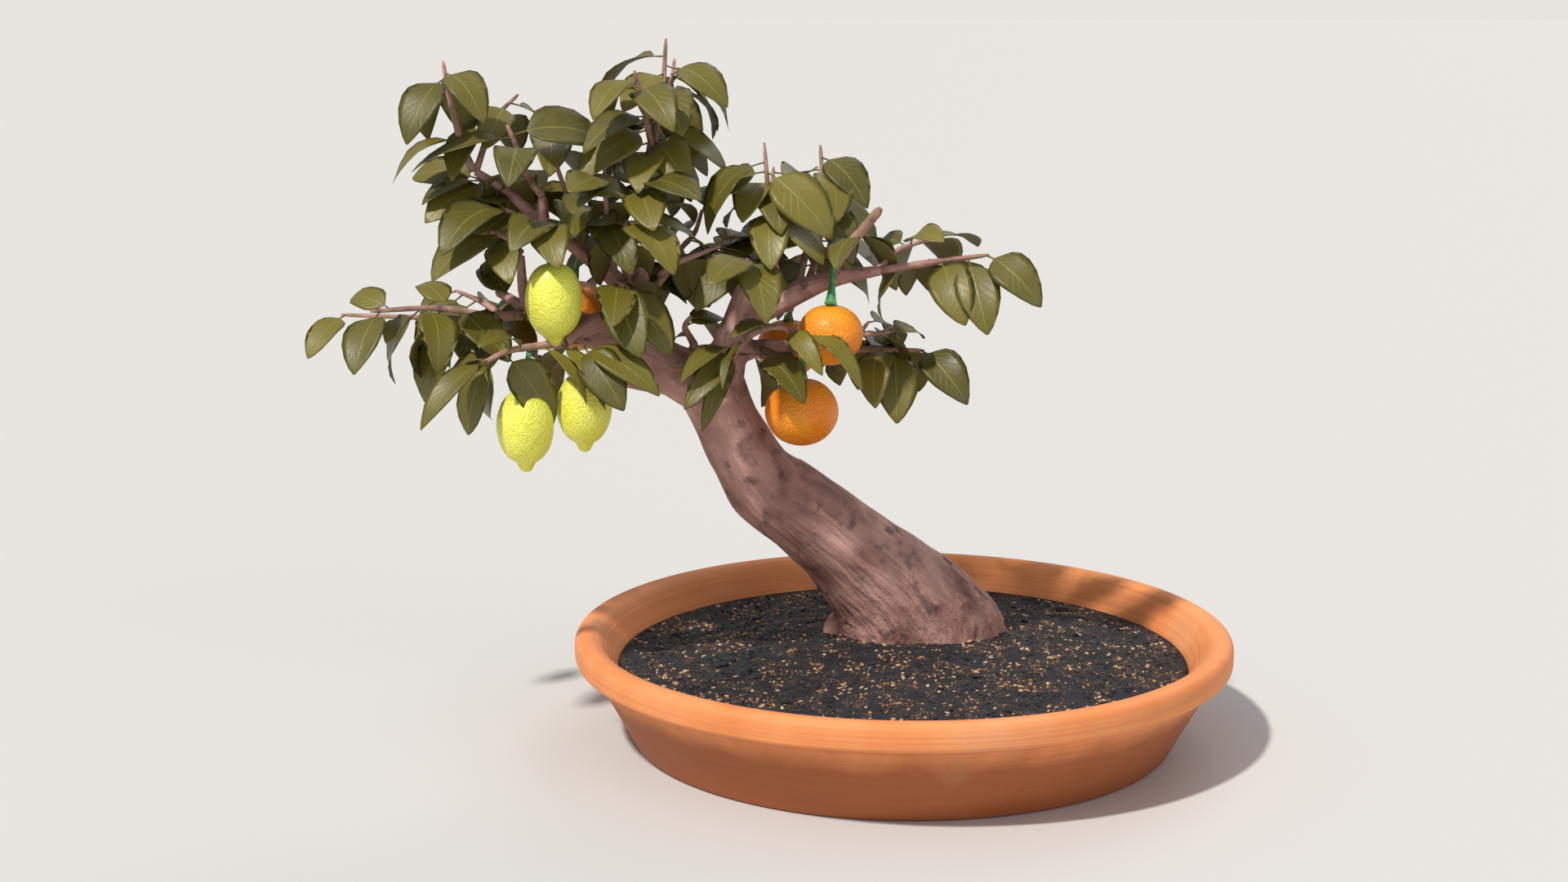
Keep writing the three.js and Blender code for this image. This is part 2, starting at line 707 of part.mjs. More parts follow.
function bowl() {
  const holes = Array.from({ length: drainCount }, (unused, i) => {
    const angle = (2 * Math.PI * i) / drainCount + Math.PI / 6;
    const depth = 4 * floorThickness;
    const drill = new THREE.CylinderGeometry(drainRadius, drainRadius, depth, drainFacets);
    drill.rotateX(Math.PI / 2);
    drill.translate(drainCircle * Math.cos(angle), drainCircle * Math.sin(angle), 0);
    return solid(drill);
  });
  return carved(turned(bowlProfile(), bowlFacets), holes);
}

// Soil fills the bowl to just under the rim's inner slope.
function soil() {
  const profile = [
    [0, floorThickness + gap],
    [innerFloorRadius - gap, floorThickness + gap],
    [innerBaseRadius - gap, floorThickness + innerBevel + gap],
    [soilEdgeRadius - 2 * gap, soilHeight - gap],
    [soilShoulderRadius, soilHeight + soilShoulderRise],
    [0, soilHeight + soilCrown],
  ];
  return turned(profile, bowlFacets);
}

// Half the height of a fruit, without a lemon's nipple.
function halfHeight(kind, radius) {
  return radius * (kind === 'orange' ? orangeHeight : lemonHeight);
}

// Half outlines of the fruit, from the bottom to the top, as [radius, height].
function fruitProfile(kind, radius) {
  return Array.from({ length: fruitSteps + 1 }, (unused, i) => {
    const angle = (Math.PI * i) / fruitSteps;
    const round = Math.sin(angle);
    const height = -halfHeight(kind, radius) * Math.cos(angle);
    if (kind === 'orange') {
      return [radius * round, height];
    }
    const nipple = i === 0 ? nippleLength : 0;
    const shoulder = i === 1 ? nippleShoulder : 1;
    return [radius * round ** lemonFullness * shoulder, height - nipple];
  });
}

function fruitBody({ kind, centre, radius }, growth = 0) {
  return turned(fruitProfile(kind, radius + growth), fruitFacets).translate(centre);
}

// A stalk runs from its limb down to the dimple on top of its fruit, where it flares.
function fruitStalk({ kind, centre, radius, from }, growth = 0) {
  const start = new THREE.Vector3(...from);
  const foot = new THREE.Vector3(...centre);
  foot.z += halfHeight(kind, radius);
  const middle = start.clone().lerp(foot, 0.5);
  foot.z += gap;
  const stations = [start, middle, foot].map((point, i) => [...point, stalkRadii[i]]);
  return limb(stations, stalkSides, stalkRings, growth);
}

const looks = {
  terracotta: material(colours.terracotta, 0.6),
  soil: material(colours.soil, 0.95),
  bark: material(colours.bark, 0.85),
  leaf: material(colours.leaf, 0.45),
  lemon: material(colours.lemon, 0.4),
  orange: material(colours.orange, 0.4),
  stalk: material(colours.stalk, 0.55),
};

const wood = tree();
const woodCutter = tree(cutterGrowth);
const fruitCutters = fruits.map((fruit) => fruitBody(fruit, cutterGrowth));

const group = new THREE.Group();
group.add(piece('terracotta_bowl', bowl(), looks.terracotta));
group.add(piece('potting_soil', soil().subtract(woodCutter), looks.soil));
group.add(piece('trunk_and_limbs', wood, looks.bark));

// Twigs give way to limbs, fruit and the twigs before them.
const twigs = [];
for (const shoot of shoots) {
  twigs.push(largest(carved(shootTwig(shoot), [woodCutter, ...fruitCutters])));
}
const twigCutters = shoots.map((shoot) => shootTwig(shoot, cutterGrowth));
const trimmedTwigs = twigs.map((twig, i) => largest(carved(twig, twigCutters.slice(0, i))));
const twigBlock = joined(twigCutters);

const stalkCutters = [];
for (const [i, fruit] of fruits.entries()) {
  const stalk = carved(fruitStalk(fruit), [woodCutter, twigBlock, fruitCutters[i]]);
  group.add(piece(fruit.name, fruitBody(fruit), looks[fruit.kind]));
  group.add(piece(`${fruit.name}_stalk`, largest(stalk), looks.stalk));
  stalkCutters.push(fruitStalk(fruit, cutterGrowth));
}

// Leaves give way to everything else, and to the leaves of the shoots before them.
const leafCutters = [];
for (const [i, shoot] of shoots.entries()) {
  const otherTwigs = twigCutters.filter((cutter, j) => j !== i);
  const neighbours = [woodCutter, ...fruitCutters, ...stalkCutters, ...otherTwigs, ...leafCutters];
  const leaves = shootLeaves(shoot, neighbours);
  const whole = largest(joined([trimmedTwigs[i], ...leaves.map(({ body }) => body)]));
  group.add(piece(`shoot_${shoot.name}`, whole, looks.leaf));
  leafCutters.push(...leaves.map(({ cutter }) => cutter));
}

export default group;
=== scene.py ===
import math
import random

import bmesh
import bpy
from mathutils import Euler, Matrix, Vector, kdtree, noise
from mathutils.bvhtree import BVHTree


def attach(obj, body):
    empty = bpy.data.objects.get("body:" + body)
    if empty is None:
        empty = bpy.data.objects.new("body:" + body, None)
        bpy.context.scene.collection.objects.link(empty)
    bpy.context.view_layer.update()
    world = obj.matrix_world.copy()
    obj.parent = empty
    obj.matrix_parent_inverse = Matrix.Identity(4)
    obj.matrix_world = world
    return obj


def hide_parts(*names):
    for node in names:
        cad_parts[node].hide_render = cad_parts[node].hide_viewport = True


# A leaning citrus tree in a wide terracotta bowl. Sizes in the dictionaries are millimetres,
# and the meshes are metres in the frame's own space: +Z up, the bowl's underside at zero.
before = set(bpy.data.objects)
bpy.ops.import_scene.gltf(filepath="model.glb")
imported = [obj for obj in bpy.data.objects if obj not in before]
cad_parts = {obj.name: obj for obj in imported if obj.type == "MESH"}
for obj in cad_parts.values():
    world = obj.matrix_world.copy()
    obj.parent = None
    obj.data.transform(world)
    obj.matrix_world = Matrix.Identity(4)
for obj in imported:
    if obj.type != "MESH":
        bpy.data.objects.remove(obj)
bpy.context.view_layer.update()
mm = 0.001
print("frame loaded:", len(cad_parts), "nodes")


def tint(red, green, blue):
    # A screen colour from 0 to 255, as linear light
    parts = [value / 255 for value in (red, green, blue)]
    return (*[((part + 0.055) / 1.055) ** 2.4 if part > 0.04 else part / 12.92 for part in parts], 1)


def addNode(tree, kind, inputs=None, **settings):
    # Places a node, then links or sets each of its inputs
    node = tree.nodes.new(kind)
    for name, value in settings.items():
        setattr(node, name, value)
    for socket, value in (inputs or {}).items():
        if isinstance(value, bpy.types.NodeSocket):
            tree.links.new(value, node.inputs[socket])
        else:
            node.inputs[socket].default_value = value
    return node


def newMaterial(name, specular):
    material = bpy.data.materials.new(name)
    material.use_nodes = True
    tree = material.node_tree
    shader = tree.nodes["Principled BSDF"]
    shader.inputs["Specular IOR Level"].default_value = specular
    return material, tree, shader


def math2(tree, operation, first, second=0.0):
    return addNode(tree, "ShaderNodeMath", {0: first, 1: second}, operation=operation).outputs[0]


def blendColours(tree, amount, first, second):
    # The mix node's colour sockets are its inputs 6 and 7 and its output 2
    node = addNode(tree, "ShaderNodeMix", {0: amount, 6: first, 7: second}, data_type="RGBA")
    return node.outputs[2]


def spread(tree, value, low, high, least=0.0, most=1.0):
    inputs = {"Value": value, "From Min": low, "From Max": high, "To Min": least, "To Max": most}
    return addNode(tree, "ShaderNodeMapRange", inputs, clamp=True).outputs["Result"]


def stretched(tree, vector, scale):
    return addNode(tree, "ShaderNodeMapping", {"Vector": vector, "Scale": scale}).outputs["Vector"]


def openGroup(name, sockets, result):
    # An effect that several finishes share: named inputs with starting values, one result
    group = bpy.data.node_groups.new(name, "ShaderNodeTree")
    for label, kind, value in sockets:
        socket = group.interface.new_socket(label, in_out="INPUT", socket_type=kind)
        if value is not None:
            socket.default_value = value
    group.interface.new_socket(result[0], in_out="OUTPUT", socket_type=result[1])
    source = group.nodes.new("NodeGroupInput").outputs
    sink = group.nodes.new("NodeGroupOutput").inputs
    return group, source, sink


def makeCloudGroup():
    # Soft patches, from 0 to 1
    group, given, result = openGroup("softPatches", [
        ("Vector", "NodeSocketVector", None),
        ("Scale", "NodeSocketFloat", 20.0),
        ("Detail", "NodeSocketFloat", 4.0),
        ("Low", "NodeSocketFloat", 0.4),
        ("High", "NodeSocketFloat", 0.6),
    ], ("Mask", "NodeSocketFloat"))
    wanted = {"Vector": given["Vector"], "Scale": given["Scale"], "Detail": given["Detail"]}
    cloud = addNode(group, "ShaderNodeTexNoise", wanted)
    group.links.new(spread(group, cloud.outputs["Fac"], given["Low"], given["High"]), result["Mask"])
    return group


def makeGrainGroup():
    # Fine tooth over a surface, as a bumped normal
    group, given, result = openGroup("fineTooth", [
        ("Vector", "NodeSocketVector", None),
        ("Scale", "NodeSocketFloat", 800.0),
        ("Strength", "NodeSocketFloat", 0.3),
        ("Depth", "NodeSocketFloat", 0.0004),
        ("Extra Height", "NodeSocketFloat", 0.0),
    ], ("Normal", "NodeSocketVector"))
    wanted = {"Vector": given["Vector"], "Scale": given["Scale"], "Detail": 3.0}
    cloud = addNode(group, "ShaderNodeTexNoise", wanted)
    height = math2(group, "ADD", cloud.outputs["Fac"], given["Extra Height"])
    wanted = {"Strength": given["Strength"], "Distance": given["Depth"], "Height": height}
    group.links.new(addNode(group, "ShaderNodeBump", wanted).outputs["Normal"], result["Normal"])
    return group


def makePeelGroup():
    # Oil glands in citrus peel: 0 in a gland's pit, 1 between the glands
    group, given, result = openGroup("peelGlands", [
        ("Vector", "NodeSocketVector", None),
        ("Scale", "NodeSocketFloat", 520.0),
    ], ("Height", "NodeSocketFloat"))
    wanted = {"Vector": given["Vector"], "Scale": given["Scale"], "Randomness": 0.9}
    cells = addNode(group, "ShaderNodeTexVoronoi", wanted, feature="SMOOTH_F1")
    group.links.new(spread(group, cells.outputs["Distance"], 0.08, 0.5), result["Height"])
    return group


patchGroup = makeCloudGroup()
toothGroup = makeGrainGroup()
peelGroup = makePeelGroup()


def useGroup(tree, group, inputs):
    return addNode(tree, "ShaderNodeGroup", inputs, node_tree=group).outputs[0]


def cloudMask(tree, place, pattern):
    # Soft patches from 0 to 1. A pattern is (scale, detail, low, high).
    labels = ("Scale", "Detail", "Low", "High")
    return useGroup(tree, patchGroup, {"Vector": place, **dict(zip(labels, pattern))})


def toothNormal(tree, place, tooth, extra=0.0):
    # A bumped normal. A tooth is (scale, strength, depth in metres).
    labels = ("Scale", "Strength", "Depth")
    inputs = {"Vector": place, **dict(zip(labels, tooth)), "Extra Height": extra}
    return useGroup(tree, toothGroup, inputs)


def times(tree, value, amount):
    return math2(tree, "MULTIPLY", value, amount)


def laidOver(tree, colour, mask, amount, other):
    # Another colour where the mask is, at a part of its full strength
    return blendColours(tree, times(tree, mask, amount), colour, other)


def ownSpace(tree):
    return addNode(tree, "ShaderNodeTexCoord").outputs["Object"]


def marked(tree, name, output="Fac"):
    return addNode(tree, "ShaderNodeAttribute", attribute_name=name).outputs[output]


def dress(tree, shader, colour, roughness, normal):
    for label, value in (("Base Color", colour), ("Roughness", roughness), ("Normal", normal)):
        tree.links.new(value, shader.inputs[label])


# Finishes. Patterns are (scale, detail, low, high), and teeth are (scale, strength, depth).

clayLook = {
    "pale": tint(244, 162, 104),
    "body": tint(232, 142, 82),
    "deep": tint(204, 114, 60),
    # Painted shade and damp clay: the darker colour of the wall below the rim
    "dampAndShade": tint(142, 74, 36),
    "bloom": tint(236, 186, 148),
    "turning": (3, 3, 420),
    "ringPattern": (1, 3, 0.35, 0.65),
    "patchPattern": (16, 6, 0.35, 0.7),
    "speckPattern": (900, 2, 0.6, 0.75),
    "edgePattern": (30, 5, 0.2, 0.8),
    "bloomPattern": (9, 9, 0.58, 0.74),
    "dampAndShadeHeights": (0.078, 0.056),
    "dampAndShadeWaver": 0.012,
    "roughness": (0.56, 0.74),
    "tooth": (650, 0.35, 0.0005),
}


def makeClay():
    look = clayLook
    material, tree, shader = newMaterial("terracotta", 0.4)
    place = ownSpace(tree)
    height = addNode(tree, "ShaderNodeSeparateXYZ", {"Vector": place}).outputs["Z"]
    rings = cloudMask(tree, stretched(tree, place, look["turning"]), look["ringPattern"])
    patches = cloudMask(tree, place, look["patchPattern"])
    specks = cloudMask(tree, place, look["speckPattern"])
    bloom = cloudMask(tree, place, look["bloomPattern"])
    colour = blendColours(tree, patches, look["body"], look["pale"])
    colour = laidOver(tree, colour, rings, 0.35, look["deep"])
    # The wall below the rim is painted darker: painted shade under the rim's overhang, together with damp
    # clay from the soil
    edge = cloudMask(tree, place, look["edgePattern"])
    wavering = math2(tree, "ADD", height, times(tree, edge, look["dampAndShadeWaver"]))
    dampAndShade = spread(tree, wavering, *look["dampAndShadeHeights"], 0, 0.8)
    colour = blendColours(tree, dampAndShade, colour, look["dampAndShade"])
    colour = laidOver(tree, colour, bloom, 0.3, look["bloom"])
    colour = laidOver(tree, colour, specks, 0.35, look["deep"])
    roughness = spread(tree, patches, 0, 1, *look["roughness"])
    normal = toothNormal(tree, place, look["tooth"], times(tree, rings, 0.9))
    dress(tree, shader, colour, roughness, normal)
    return material


soilLook = {
    "wet": tint(27, 28, 33),
    "dry": tint(48, 48, 53),
    "tan": tint(196, 146, 100),
    "copper": tint(128, 84, 56),
    "bright": tint(226, 196, 160),
    "patchPattern": (45, 8, 0.35, 0.7),
    "fleckPattern": (420, 5, 0.54, 0.62),
    "driftPattern": (62, 3, 0.46, 0.62),
    "roughness": (0.7, 0.95),
    "tooth": (420, 0.9, 0.0018),
}


def makeSoil():
    look = soilLook
    material, tree, shader = newMaterial("pottingSoil", 0.35)
    place = ownSpace(tree)
    patches = cloudMask(tree, place, look["patchPattern"])
    grit = cloudMask(tree, place, look["fleckPattern"])
    flecks = times(tree, grit, cloudMask(tree, place, look["driftPattern"]))
    colour = blendColours(tree, patches, look["wet"], look["dry"])
    colour = laidOver(tree, colour, flecks, 0.8, look["tan"])
    roughness = spread(tree, patches, 0, 1, *look["roughness"])
    dress(tree, shader, colour, roughness, toothNormal(tree, place, look["tooth"], grit))
    return material


crumbLook = {
    # Colour by tone, from wet humus to bright bark chips
    "tones": ((0.4, "dry"), (0.6, "copper"), (0.85, "tan")),
    "patchPattern": (600, 4, 0.3, 0.8),
    "roughness": (0.55, 0.85),
    "tooth": (1400, 0.5, 0.0004),
}


def makeCrumb():
    # Bark chips, grit and dark humus on the soil. Each crumb carries its own tone.
    look = crumbLook
    material, tree, shader = newMaterial("soilCrumbs", 0.4)
    place = ownSpace(tree)
    ramp = addNode(tree, "ShaderNodeValToRGB", {"Fac": marked(tree, "crumbTone")})
    stops = ramp.color_ramp.elements
    stops[0].color = soilLook["wet"]
    stops[1].color = soilLook["bright"]
    for position, colour in look["tones"]:
        stops.new(position).color = soilLook[colour]
    patches = cloudMask(tree, place, look["patchPattern"])
    colour = laidOver(tree, ramp.outputs["Color"], patches, 0.4, soilLook["wet"])
    roughness = spread(tree, patches, 0, 1, *look["roughness"])
    dress(tree, shader, colour, roughness, toothNormal(tree, place, look["tooth"]))
    return material


barkLook = {
    "pale": tint(220, 174, 162),
    "body": tint(186, 138, 128),
    "deep": tint(132, 94, 84),
    "blotch": tint(74, 54, 52),
    "young": tint(120, 112, 62),
    "streakLimits": (0.34, 0.66),
    "finePattern": (5, 0.3, 0.7),
    "cloudPattern": (24, 5, 0.36, 0.6),
    "blotchPattern": (60, 4, 0.56, 0.7),
    "youngPattern": (70, 3, 0.45, 0.65),
    "roughness": (0.82, 0.6),
}


def makeBark(name, draw, scale, strength, depth, young):
    # Streaks run along the limb: the grain mark holds the place round it and along it, in metres
    look = barkLook
    material, tree, shader = newMaterial(name, 0.35)
    place = ownSpace(tree)
    along = stretched(tree, marked(tree, "grain", "Vector"), (1, 1, draw))
    streaks = cloudMask(tree, along, (scale, 7, *look["streakLimits"]))
    fine = cloudMask(tree, along, (scale * 4, *look["finePattern"]))
    colour = blendColours(tree, streaks, look["deep"], look["body"])
    colour = laidOver(tree, colour, cloudMask(tree, place, look["cloudPattern"]), 0.8, look["pale"])
    colour = laidOver(tree, colour, fine, 0.3, look["deep"])
    colour = laidOver(tree, colour, cloudMask(tree, place, look["blotchPattern"]), 0.7, look["blotch"])
    if young:
        green = cloudMask(tree, place, look["youngPattern"])
        colour = laidOver(tree, colour, green, 0.55, look["young"])
    ridges = math2(tree, "ADD", times(tree, streaks, 2.2), fine)
    normal = toothNormal(tree, place, (700, strength, depth), ridges)
    dress(tree, shader, colour, spread(tree, streaks, 0, 1, *look["roughness"]), normal)
    return material


leafLook = {
    "sunny": tint(122, 112, 36),
    "body": tint(100, 92, 26),
    "deep": tint(76, 73, 20),
    "vein": tint(140, 134, 60),
    "under": tint(112, 108, 54),
    "midrib": (0.008, 0.034),
    "veinPairs": 9,
    "veinSlant": 5.0,
    "veinWidth": (0.03, 0.22),
    "veinEnds": (0.3, 0.47),
    "patchPattern": (55, 5, 0.35, 0.68),
    "roughness": (0.36, 0.5),
    "tooth": (1100, 0.35, 0.0005),
}


def makeLeaf():
    look = leafLook
    material, tree, shader = newMaterial("citrusLeaf", 0.5)
    place = ownSpace(tree)
    uv = addNode(tree, "ShaderNodeUVMap", uv_map="leafUv").outputs["UV"]
    parts = addNode(tree, "ShaderNodeSeparateXYZ", {"Vector": uv}).outputs
    marks = addNode(tree, "ShaderNodeSeparateColor", {"Color": marked(tree, "leafTone", "Color")})
    tone, under = marks.outputs["Red"], marks.outputs["Green"]
    aside = math2(tree, "ABSOLUTE", math2(tree, "SUBTRACT", parts["X"], 0.5))
    midrib = spread(tree, aside, *look["midrib"], 1, 0)
    # Side veins leave the midrib in pairs and bend towards the tip
    reach = times(tree, math2(tree, "POWER", aside, 0.8), look["veinSlant"])
    rise = math2(tree, "SUBTRACT", times(tree, parts["Y"], look["veinPairs"]), reach)
    wave = math2(tree, "ABSOLUTE", math2(tree, "SINE", times(tree, rise, math.pi)))
    veins = spread(tree, wave, *look["veinWidth"], 1, 0)
    veins = times(tree, veins, spread(tree, aside, *look["veinEnds"], 1, 0))
    patches = cloudMask(tree, place, look["patchPattern"])
    colour = blendColours(tree, tone, look["deep"], look["sunny"])
    colour = laidOver(tree, colour, patches, 0.5, look["body"])
    colour = laidOver(tree, colour, veins, 0.22, look["vein"])
    colour = laidOver(tree, colour, midrib, 0.5, look["vein"])
    colour = laidOver(tree, colour, under, 0.6, look["under"])
    gloss = spread(tree, patches, 0, 1, *look["roughness"])
    roughness = math2(tree, "ADD", gloss, times(tree, under, 0.25))
    relief = times(tree, math2(tree, "ADD", veins, midrib), -1.1)
    dress(tree, shader, colour, roughness, toothNormal(tree, place, look["tooth"], relief))
    return material


peelLooks = {
    "lemon": {"body": tint(238, 238, 84), "ripe": tint(248, 246, 108), "green": tint(206, 222, 74)},
    "orange": {"body": tint(252, 138, 18), "ripe": tint(254, 158, 30), "green": tint(242, 172, 40)},
}
peelDetail = {
    "glandScale": 540,
    # Painted shade for the gland pits
    "pitShade": tint(150, 100, 20),
    "patchPattern": (38, 4, 0.35, 0.65),
    "roughness": (0.5, 0.34),
    "tooth": (260, 0.6, 0.0009),
}


def makePeel(kind):
    look = {**peelDetail, **peelLooks[kind]}
    material, tree, shader = newMaterial(kind + "Peel", 0.5)
    place = ownSpace(tree)
    glands = useGroup(tree, peelGroup, {"Vector": place, "Scale": look["glandScale"]})
    shadedPits = math2(tree, "SUBTRACT", 1.0, glands)
    patches = cloudMask(tree, place, look["patchPattern"])
    colour = blendColours(tree, patches, look["body"], look["ripe"])
    colour = laidOver(tree, colour, marked(tree, "stalkEnd"), 0.6, look["green"])
    # Painted shade: the peel is coloured darker in the gland pits
    colour = laidOver(tree, colour, shadedPits, 0.16, look["pitShade"])
    roughness = spread(tree, glands, 0, 1, *look["roughness"])
    normal = toothNormal(tree, place, look["tooth"], times(tree, glands, 1.2))
    dress(tree, shader, colour, roughness, normal)
    return material


stalkLook = {
    "body": tint(64, 148, 88),
    "pale": tint(112, 172, 106),
    "deep": tint(44, 108, 62),
    "draw": 0.12,
    "ribPattern": (520, 3, 0.35, 0.65),
    "patchPattern": (150, 4, 0.4, 0.7),
    "roughness": (0.6, 0.45),
    "tooth": (900, 0.5, 0.0004),
}


def makeStalkFinish():
    look = stalkLook
    material, tree, shader = newMaterial("greenStalk", 0.45)
    place = ownSpace(tree)
    along = stretched(tree, marked(tree, "grain", "Vector"), (1, 1, look["draw"]))
    ribs = cloudMask(tree, along, look["ribPattern"])
    colour = blendColours(tree, ribs, look["deep"], look["body"])
    colour = blendColours(tree, cloudMask(tree, place, look["patchPattern"]), colour, look["pale"])
    roughness = spread(tree, ribs, 0, 1, *look["roughness"])
    dress(tree, shader, colour, roughness, toothNormal(tree, place, look["tooth"], ribs))
    return material


clay = makeClay()
soilFinish = makeSoil()
crumbFinish = makeCrumb()
trunkBark = makeBark("bark", draw=0.1, scale=75, strength=0.6, depth=0.0016, young=False)
twigBark = makeBark("twigBark", draw=0.2, scale=260, strength=0.5, depth=0.0005, young=True)
leafFinish = makeLeaf()
peels = {kind: makePeel(kind) for kind in peelLooks}
stalkFinish = makeStalkFinish()
print("finishes ready")


# Shape helpers

def finishPiece(bm, name, slotName, nodes, *finishes):
    # Turns a bmesh into a smooth piece that rides on the part and stands for its CAD nodes
    bmesh.ops.recalc_face_normals(bm, faces=bm.faces)
    for face in bm.faces:
        face.smooth = True
    mesh = bpy.data.meshes.new(name)
    bm.to_mesh(mesh)
    bm.free()
    return placeMesh(mesh, name, slotName, nodes, *finishes)


def placeMesh(mesh, name, slotName, nodes, *finishes):
    piece = bpy.data.objects.new(name, mesh)
    bpy.context.scene.collection.objects.link(piece)
    for finish in finishes:
        mesh.materials.append(finish)
    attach(piece, "root")
    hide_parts(*nodes)
    return piece


def bakedMesh(piece):
    # The piece's mesh with its modifiers applied. The piece itself is removed.
    graph = bpy.context.evaluated_depsgraph_get()
    mesh = bpy.data.meshes.new_from_object(piece.evaluated_get(graph))
    bpy.data.objects.remove(piece)
    return mesh


def newSolid(bm, name):
    bmesh.ops.recalc_face_normals(bm, faces=bm.faces)
    mesh = bpy.data.meshes.new(name)
    bm.to_mesh(mesh)
    bm.free()
    solid = bpy.data.objects.new(name, mesh)
    bpy.context.scene.collection.objects.link(solid)
    return solid


def alongLine(points, place):
    # A point on the smooth line through the points (centripetal Catmull-Rom), place from 0 to 1
    at = place * (len(points) - 1)
    index = min(int(at), len(points) - 2)
    part = at - index
    b, c = points[index], points[index + 1]
    a = points[index - 1] if index > 0 else b * 2 - c
    d = points[index + 2] if index + 2 < len(points) else c * 2 - b
    gapA, gapB, gapC = [max((q - p).length ** 0.5, 1e-6) for p, q in ((a, b), (b, c), (c, d))]
    leave = ((b - a) / gapA - (c - a) / (gapA + gapB) + (c - b) / gapB) * gapB
    arrive = ((c - b) / gapB - (d - b) / (gapB + gapC) + (d - c) / gapC) * gapB
    bend = (c - b) * 3 - leave * 2 - arrive
    turn = (b - c) * 2 + leave + arrive
    return b + leave * part + bend * part ** 2 + turn * part ** 3


def between(values, place):
    at = place * (len(values) - 1)
    low = min(int(at), len(values) - 2)
    return values[low] + (values[low + 1] - values[low]) * (at - low)


def limbPlaces(stations, steps):
    # Centre, the two cross directions, the direction along, radius and depth ratio at each ring
    points = [Vector(station[:3]) * mm for station in stations]
    radii = [station[3] * mm for station in stations]
    ratios = [station[4] if len(station) > 4 else 1 for station in stations]
    chord = (points[-1] - points[0]).normalized()
    across = Vector((0, 0, 1)) if abs(chord.y) > 0.7 else Vector((0, 1, 0))
    places = []
    for i in range(steps + 1):
        place = i / steps
        centre = alongLine(points, place)
        ahead = alongLine(points, min(place + 0.01, 1)) - alongLine(points, max(place - 0.01, 0))
        ahead.normalize()
        side = across.cross(ahead).normalized()
        places.append((centre, side, side.cross(ahead), ahead, between(radii, place),
                       between(ratios, place)))
    return places


def ringMatrix(place, scale=1):
    centre, side, depth, ahead, radius, ratio = place
    turned = Matrix((side * radius * scale, depth * radius * ratio * scale, ahead * radius))
    return Matrix.Translation(centre) @ turned.transposed().to_4x4()


def sweep(bm, places, sides, scales=None):
    # A closed round limb: one ring, extruded from place to place
    scales = scales or [1] * len(places)
    ring = bmesh.ops.create_circle(bm, cap_ends=True, segments=sides, radius=1,
                                   matrix=ringMatrix(places[0], scales[0]))["verts"]
    made = list(ring)
    edges = list(dict.fromkeys(edge for vert in ring for edge in vert.link_edges))
    for i in range(1, len(places)):
        moved = ringMatrix(places[i], scales[i]) @ ringMatrix(places[i - 1], scales[i - 1]).inverted()
        grown = bmesh.ops.extrude_edge_only(bm, edges=edges)["geom"]
        ring = [part for part in grown if isinstance(part, bmesh.types.BMVert)]
        ends = set(ring)
        edges = [part for part in grown
                 if isinstance(part, bmesh.types.BMEdge) and ends.issuperset(part.verts)]
        bmesh.ops.transform(bm, matrix=moved, verts=ring)
        made += ring
    bmesh.ops.edgeloop_fill(bm, edges=edges)
    return made


def markGrain(bm, verts, places):
    # Keeps the place round and along the limb, in metres, for finishes that follow it
    grain = bm.verts.layers.float_vector["grain"]
    sides = len(verts) // len(places)
    walked = 0.0
    for i, place in enumerate(places):
        if i:
            walked += (place[0] - places[i - 1][0]).length
        for vert in verts[i * sides:(i + 1) * sides]:
            away = vert.co - place[0]
            vert[grain] = (away.dot(place[1]), away.dot(place[2]), walked)


def spinProfile(bm, profile, steps):
    # Turns an outline of (radius, height) points round the Z axis
    verts = [bm.verts.new((radius * mm, 0, height * mm)) for radius, height in profile]
    edges = [bm.edges.new(pair) for pair in zip(verts, verts[1:])]
    bmesh.ops.spin(bm, geom=verts + edges, cent=(0, 0, 0), axis=(0, 0, 1), dvec=(0, 0, 0),
                   angle=2 * math.pi, steps=steps, use_merge=True, use_normal_flip=False,
                   use_duplicate=False)
    bmesh.ops.remove_doubles(bm, verts=bm.verts, dist=1e-6)


def arcPoints(radius, height, size, start, end, steps):
    # Points of an arc round (radius, height), with angles in degrees from outwards towards up
    turns = [math.radians(start + (end - start) * i / steps) for i in range(steps + 1)]
    return [(radius + size * math.cos(turn), height + size * math.sin(turn)) for turn in turns]


# Bowl

bowlSizes = {
    "rimRadius": 300, "rimTop": 100, "bandFoot": 75, "rimRoll": 9, "bandRoll": 5,
    "baseRings": (0, 60, 120, 180), "footRoll": 6, "wallFoot": (248.6, 5), "wallTop": (284.2, 69.5),
    "groove": [(284.6, 71.6), (282.8, 73.4), (283.4, 75.2), (288, 75.4)],
    "bandCrown": (300.2, 85),
    "mouth": [(286.5, 99.6), (282, 98.4), (278, 95.4), (274, 91), (269.5, 85)],
    "innerTop": (266, 80.5),
    "innerHeel": [(238, 20), (235.5, 16), (232, 13.2), (227, 12)],
    "floorHeight": 12, "floorRings": (150, 70, 0),
    "turns": 144, "wallSteps": 8,
    "wobble": 0.35, "wobbleScale": 7, "trueWithin": 200,
    "drainRadius": 7, "drainCircle": 95, "drains": 3, "drillDepth": 50, "drillSides": 32,
}


def straight(first, last, steps):
    return [tuple(a + (b - a) * i / steps for a, b in zip(first, last)) for i in range(1, steps)]


def bowlOutline():
    size = bowlSizes
    outer, roll, band, foot = (size[name] for name in ("rimRadius", "rimRoll", "bandRoll", "footRoll"))
    return [
        *[(radius, 0) for radius in size["baseRings"]],
        *arcPoints(size["wallFoot"][0] - foot, foot, foot, -90, -26, 4),
        *straight(size["wallFoot"], size["wallTop"], size["wallSteps"]),
        size["wallTop"],
        *size["groove"],
        *arcPoints(outer - band, size["bandFoot"] + band, band, -90, 0, 5),
        size["bandCrown"],
        *arcPoints(outer - roll, size["rimTop"] - roll, roll, 0, 90, 8),
        *size["mouth"],
        *straight(size["innerTop"], size["innerHeel"][0], size["wallSteps"]),
        *size["innerHeel"],
        *[(radius, size["floorHeight"]) for radius in size["floorRings"]],
    ]


